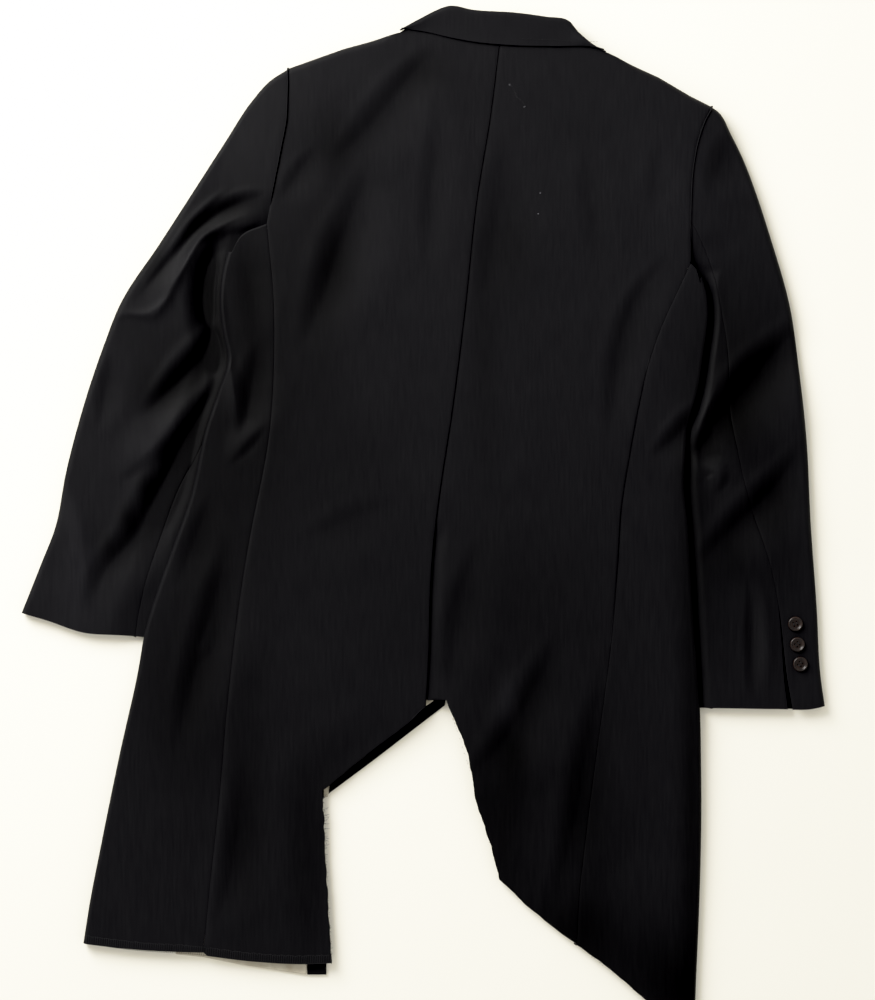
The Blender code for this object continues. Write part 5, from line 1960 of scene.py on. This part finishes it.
@dataclass(frozen=True)
class FrayedRun:
    """Loose yarns along a stretch of a raw cut edge.

    Attributes:
        edge: the edge, each row (down, across).
        start: the share of the edge where they begin.
        end: the share where they end.
        count: how many there are.
        reach: the shortest and the longest.
        outward: the way off the edge, as (across, down).
    """

    edge: Table
    start: float
    end: float
    count: int
    reach: tuple[float, float]
    outward: tuple[float, float]

    def strands(self, rng: np.random.Generator) -> list[Array]:
        """Each yarn's points, as positions in metres.

        Args:
            rng: the source of their unevenness.

        Returns:
            The yarns' points.
        """
        paths = []
        for share in np.sort(rng.uniform(self.start, self.end, self.count)):
            place = along(self.edge, np.array([share]), straight=True)[0] - self.outward
            length = rng.uniform(*self.reach)
            turn = rng.normal(0.0, YARN_TURN)
            bend = rng.normal(0.0, YARN_BEND)
            t = np.linspace(0.0, 1.0, YARN_POINTS)
            angle = math.atan2(self.outward[1], self.outward[0]) + turn + bend * t
            steps = np.stack([np.cos(angle), np.sin(angle)], axis=1) * length / (YARN_POINTS - 1)
            points = place + np.concatenate([[[0.0, 0.0]], np.cumsum(steps[:-1], axis=0)])
            base = float(body_surface(points[:1])[0]) - rng.uniform(*YARN_START)
            heights = base + YARN_RISE * np.sin(t * math.pi) - rng.uniform(*YARN_FALL) * t**2
            paths.append(world_points(points, np.maximum(heights, YARN_LOWEST)))
        return paths


@dataclass
class Frays:
    """The loose yarns of both tails' cut edges, pale and black."""

    seed: int = 5
    pale: tuple[FrayedRun, ...] = (
        FrayedRun(LEFT_TAIL_CUT, 0.03, 0.32, 26, (2.5, 7.0), (1.0, 0.15)),
        FrayedRun(LEFT_TAIL_CUT, 0.3, 0.98, 14, (1.2, 3.2), (1.0, 0.1)),
    )
    black: tuple[FrayedRun, ...] = (
        FrayedRun(LEFT_TAIL_CUT, 0.0, 1.0, 70, (1.0, 3.0), (1.0, 0.1)),
        FrayedRun(((707, 24), (786, 50), (890, 78)), 0.0, 1.0, 70, (0.8, 2.0), (-0.95, 0.3)),
        FrayedRun(((890, 78), (957, 157), (1050, 276)), 0.0, 0.9, 80, (0.8, 2.2), (-0.65, 0.75)),
        FrayedRun(((713, 3), (762, -57), (799, -102)), 0.0, 1.0, 60, (0.8, 2.0), (0.6, 0.8)),
    )

    def build(self, wardrobe: Wardrobe) -> None:
        """All the yarns.

        Args:
            wardrobe: the finishes.
        """
        rng = np.random.default_rng(self.seed)
        for name, runs, radius, thread in (
            ("pale", self.pale, 0.11, wardrobe.grey_thread),
            ("black", self.black, 0.13, wardrobe.black_thread),
        ):
            paths = [path for run in runs for path in run.strands(rng)]
            dress(tubes(f"frayed_yarns_{name}", paths, radius, 5, thread))


@dataclass
class Lint:
    """The specks and stray threads that lie on the back."""

    seed: int = 3
    specks: Table = ((81, 88, 1.1), (103, 103, 1.3), (191, 119, 0.9), (212, 117, 0.8))
    curls: int = 5
    curl_turn: tuple[float, float] = (2.0, 5.0)
    curl_radius: float = 0.09
    strand_radius: float = 0.045

    def build(self, wardrobe: Wardrobe) -> None:
        """Small curls of fluff, and the faint thread between the first two.

        Args:
            wardrobe: the finishes.
        """
        rng = np.random.default_rng(self.seed)
        paths = []
        for down, across, size in self.specks:
            for _ in range(self.curls):
                t = np.linspace(0.0, 1.0, 8)
                angle = rng.uniform(0, 6.28) + t * rng.uniform(*self.curl_turn)
                curl = np.stack([np.cos(angle), np.sin(angle)], 1) * size * (0.35 + 0.5 * t[:, None])
                points = np.array([across, down]) + curl
                heights = body_surface(points) + 0.15 + 0.3 * rng.random() * np.sin(t * 3.1)
                paths.append(world_points(points, heights))
        dress(tubes("lint_specks", paths, self.curl_radius, 5, wardrobe.lint))
        t = np.linspace(0.0, 1.0, 24)
        strand = np.stack([88 + 15 * t + 1.2 * np.sin(t * 9), 81 + 22 * t], axis=1)
        collar = np.stack([94 + 3 * t, 5 + 1.5 * np.sin(t * 4)], axis=1)
        crest = body_height(collar) + COLLAR_LIFT + 0.1
        lines = [world_points(strand, body_surface(strand) + 0.12), world_points(collar, crest)]
        dress(tubes("lint_threads", lines, self.strand_radius, 5, wardrobe.grey_thread))


@dataclass
class CuffButtons:
    """Three rimmed buttons with four holes, sewn beside the right cuff's vent."""

    radius: float = 7.5
    hole_radius: float = 0.85
    hole_offset: float = 1.7
    sides: int = 64
    sharp_degrees: float = 40.0
    clear: float = 0.4
    turn_each: float = 0.35
    thread_radius: float = 0.2
    thread_shifts: tuple[float, ...] = (-0.28, 0.0, 0.28)
    thread_face: float = 1.5
    thread_rise: float = 0.55
    thread_end: float = 0.6
    profile: Table = (
        (0.0, 1.55), (3.6, 1.5), (4.7, 1.6), (5.3, 2.1), (5.8, 2.75), (6.3, 3.0), (6.8, 2.85),
        (7.25, 2.3), (7.5, 1.6), (7.3, 0.9), (6.6, 0.3), (5.6, 0.0), (0.0, 0.0),
    )

    def turned(self) -> bpy.types.Mesh:
        """The button's body, turned from its profile, with its four holes cut through.

        Returns:
            The mesh, about its own middle.
        """
        body = bmesh.new()
        points = [body.verts.new((r * MM, 0.0, z * MM)) for r, z in self.profile]
        edges = [body.edges.new(pair) for pair in zip(points, points[1:])]
        bmesh.ops.spin(body, geom=points + edges, cent=(0, 0, 0), axis=(0, 0, 1), dvec=(0, 0, 0),
                       angle=2 * math.pi, steps=self.sides, use_merge=True, use_duplicate=False)
        bmesh.ops.remove_doubles(body, verts=body.verts, dist=0.00002)
        bmesh.ops.recalc_face_normals(body, faces=body.faces)
        mesh = bpy.data.meshes.new("button_body")
        body.to_mesh(mesh)
        body.free()
        cutter = bmesh.new()
        for x, y in ((1, 1), (1, -1), (-1, 1), (-1, -1)):
            made = bmesh.ops.create_cone(cutter, cap_ends=True, segments=20, depth=8 * MM,
                                         radius1=self.hole_radius * MM, radius2=self.hole_radius * MM)
            bmesh.ops.translate(cutter, verts=made["verts"],
                                vec=(x * self.hole_offset * MM, y * self.hole_offset * MM, 0.0))
        holes = bpy.data.meshes.new("button_holes")
        cutter.to_mesh(holes)
        cutter.free()
        base, tool = put("base", mesh), put("tool", holes)
        cut = base.modifiers.new("holes", "BOOLEAN")
        cut.operation = "DIFFERENCE"
        cut.object = tool
        graph = bpy.context.evaluated_depsgraph_get()
        made = bpy.data.meshes.new_from_object(base.evaluated_get(graph))
        for item in (base, tool):
            bpy.data.objects.remove(item)
        return in_order(made)

    def threads(self) -> list[Array]:
        """The crossed threads through the four holes, in the button's own place.

        Returns:
            Each thread's points, in metres.
        """
        paths = []
        t = np.linspace(0.0, 1.0, 9)
        for x in (1, -1):
            for shift in self.thread_shifts:
                rise = self.thread_face + self.thread_rise * np.sin(t * math.pi)
                rise[0] = rise[-1] = self.thread_end
                along_y = (1 - 2 * t) * self.hole_offset
                across = np.full_like(t, x * self.hole_offset + shift)
                paths.append(np.stack([across, along_y, rise], axis=1) * MM)
        return paths

    def build(self, wardrobe: Wardrobe, surface: Callable[[float, float], float]) -> None:
        """Each button, tilted to the sleeve under it.

        Args:
            wardrobe: the finishes.
            surface: reads the height of the sleeve at a place.
        """
        body = self.turned()
        body.materials.clear()
        body.materials.append(wardrobe.button)
        body.shade_smooth()
        body.set_sharp_from_angle(angle=math.radians(self.sharp_degrees))
        for number, (down, across) in enumerate(BUTTONS, start=1):
            reach = self.radius
            east, west = surface(across + reach, down), surface(across - reach, down)
            south, north = surface(across, down + reach), surface(across, down - reach)
            centre = max(surface(across, down), (east + west) / 2, (south + north) / 2)
            piece = put(f"button_{number}_turned", body.copy())
            sewn = tubes(f"button_{number}_thread", self.threads(), self.thread_radius, 6,
                         wardrobe.black_thread)
            for item in (piece, sewn):
                item.location = (across * MM, (LENGTH / 2 - down) * MM, (centre + self.clear) * MM)
                item.rotation_euler = (
                    math.atan((north - south) / (2 * reach)),
                    -math.atan((east - west) / (2 * reach)),
                    self.turn_each * number,
                )
            dress(piece, f"button_{number}", slot="button")
            dress(sewn)


@dataclass(frozen=True)
class Lamp:
    """A square soft light: where it stands, its size in metres, power in watts and colour."""

    name: str
    place: tuple[float, ...]
    size: float
    power: float
    colour: Colour = ROOM_LIGHT


@dataclass
class Studio:
    """The pale floor, the soft lights and the camera straight above."""

    lens: float = 85.0
    view_height: float = 1.02
    aim: tuple[float, float] = (0.0146, 0.0223)
    aim_height: float = 0.008
    floor_size: float = 12.0
    lamps: tuple[Lamp, ...] = (
        Lamp("window", (-1.15, 1.3, 1.15), 1.2, 46.0),
        Lamp("wide_window", (-2.5, 2.7, 2.3), 3.0, 60.0),
    )
    room_sides: Colour = ROOM_LIGHT
    room_top: Colour = (0.55, 0.54, 0.52)
    room_strength: float = 0.72
    darkest: float = 0.0038
    brightest: float = 1.25
    tone_curve: Table = ((0.2, 0.42), (0.4, 0.74), (0.68, 0.95))

    def build_floor(self, material: bpy.types.Material) -> None:
        """A wide pale floor.

        Args:
            material: the floor's finish.
        """
        bpy.ops.mesh.primitive_grid_add(x_subdivisions=8, y_subdivisions=8, size=self.floor_size)
        floor = bpy.context.object
        floor.name = "floor"
        floor.data.materials.append(material)

    def add_light(self, lamp: Lamp) -> None:
        """A square soft light that looks at the blazer's middle.

        Args:
            lamp: the light.
        """
        light = bpy.data.lights.new(lamp.name, "AREA")
        light.size = lamp.size
        light.energy = lamp.power
        light.color = lamp.colour
        holder = put(lamp.name, light)
        holder.location = lamp.place
        way = np.array([*self.aim, 0.0]) - np.array(lamp.place)
        yaw = math.atan2(way[1], way[0]) - math.pi / 2
        pitch = math.atan2(math.hypot(way[0], way[1]), -way[2])
        holder.rotation_euler = (pitch, 0.0, yaw)

    def build_room(self) -> None:
        """Soft light from all round, brighter from the sides than from straight above."""
        world = bpy.data.worlds.new("soft_room")
        world.use_nodes = True
        tree = world.node_tree
        place = tree.nodes.new("ShaderNodeTexCoord")
        split = tree.nodes.new("ShaderNodeSeparateXYZ")
        ramp = tree.nodes.new("ShaderNodeValToRGB")
        tree.links.new(place.outputs["Generated"], split.inputs["Vector"])
        tree.links.new(split.outputs["Z"], ramp.inputs["Fac"])
        low, high = ramp.color_ramp.elements
        low.position, high.position = 0.35, 0.95
        low.color = (*self.room_sides, 1.0)
        high.color = (*self.room_top, 1.0)
        room = tree.nodes["Background"]
        tree.links.new(ramp.outputs["Color"], room.inputs["Color"])
        room.inputs["Strength"].default_value = self.room_strength
        bpy.context.scene.world = world

    def set_contrast(self, view: bpy.types.ColorManagedViewSettings) -> None:
        """Deepen the darkest tones and let the brightest run together, as in the photograph.

        Args:
            view: the scene's view settings.
        """
        view.view_transform = "Standard"
        view.use_curve_mapping = True
        mapping = view.curve_mapping
        mapping.black_level = (self.darkest,) * 3
        mapping.white_level = (self.brightest,) * 3
        for place in self.tone_curve:
            mapping.curves[3].points.new(*place)
        mapping.update()

    def build(self, wardrobe: Wardrobe) -> None:
        """The floor, the lights, the room and the camera.

        Args:
            wardrobe: the finishes.
        """
        self.build_floor(wardrobe.floor)
        for lamp in self.lamps:
            self.add_light(lamp)
        self.build_room()
        self.set_contrast(bpy.context.scene.view_settings)
        camera = bpy.data.cameras.new("camera")
        camera.lens = self.lens
        camera.sensor_width = 36.0
        eye = put("camera", camera)
        distance = self.view_height * self.lens / camera.sensor_width
        eye.location = (*self.aim, distance + self.aim_height)
        bpy.context.scene.camera = eye


def main() -> None:
    """Build the blazer's pieces in order, then the room they are seen in."""
    logging.basicConfig(level=logging.INFO, format="%(name)s %(message)s")
    wardrobe = Wardrobe()
    Studio().build(wardrobe)
    left, right = left_half(), right_half()
    left.build(wardrobe)
    right.build(wardrobe)
    sleeves = left_sleeve(left), right_sleeve(right)
    for sleeve in sleeves:
        sleeve.build(wardrobe)
    Collar().build(wardrobe)
    CutTrim().build(wardrobe)
    HemBand().build(wardrobe)
    Frays().build(wardrobe)
    Lint().build(wardrobe)
    CuffButtons().build(wardrobe, sleeves[1].reader())


if __name__ == "__main__":
    main()
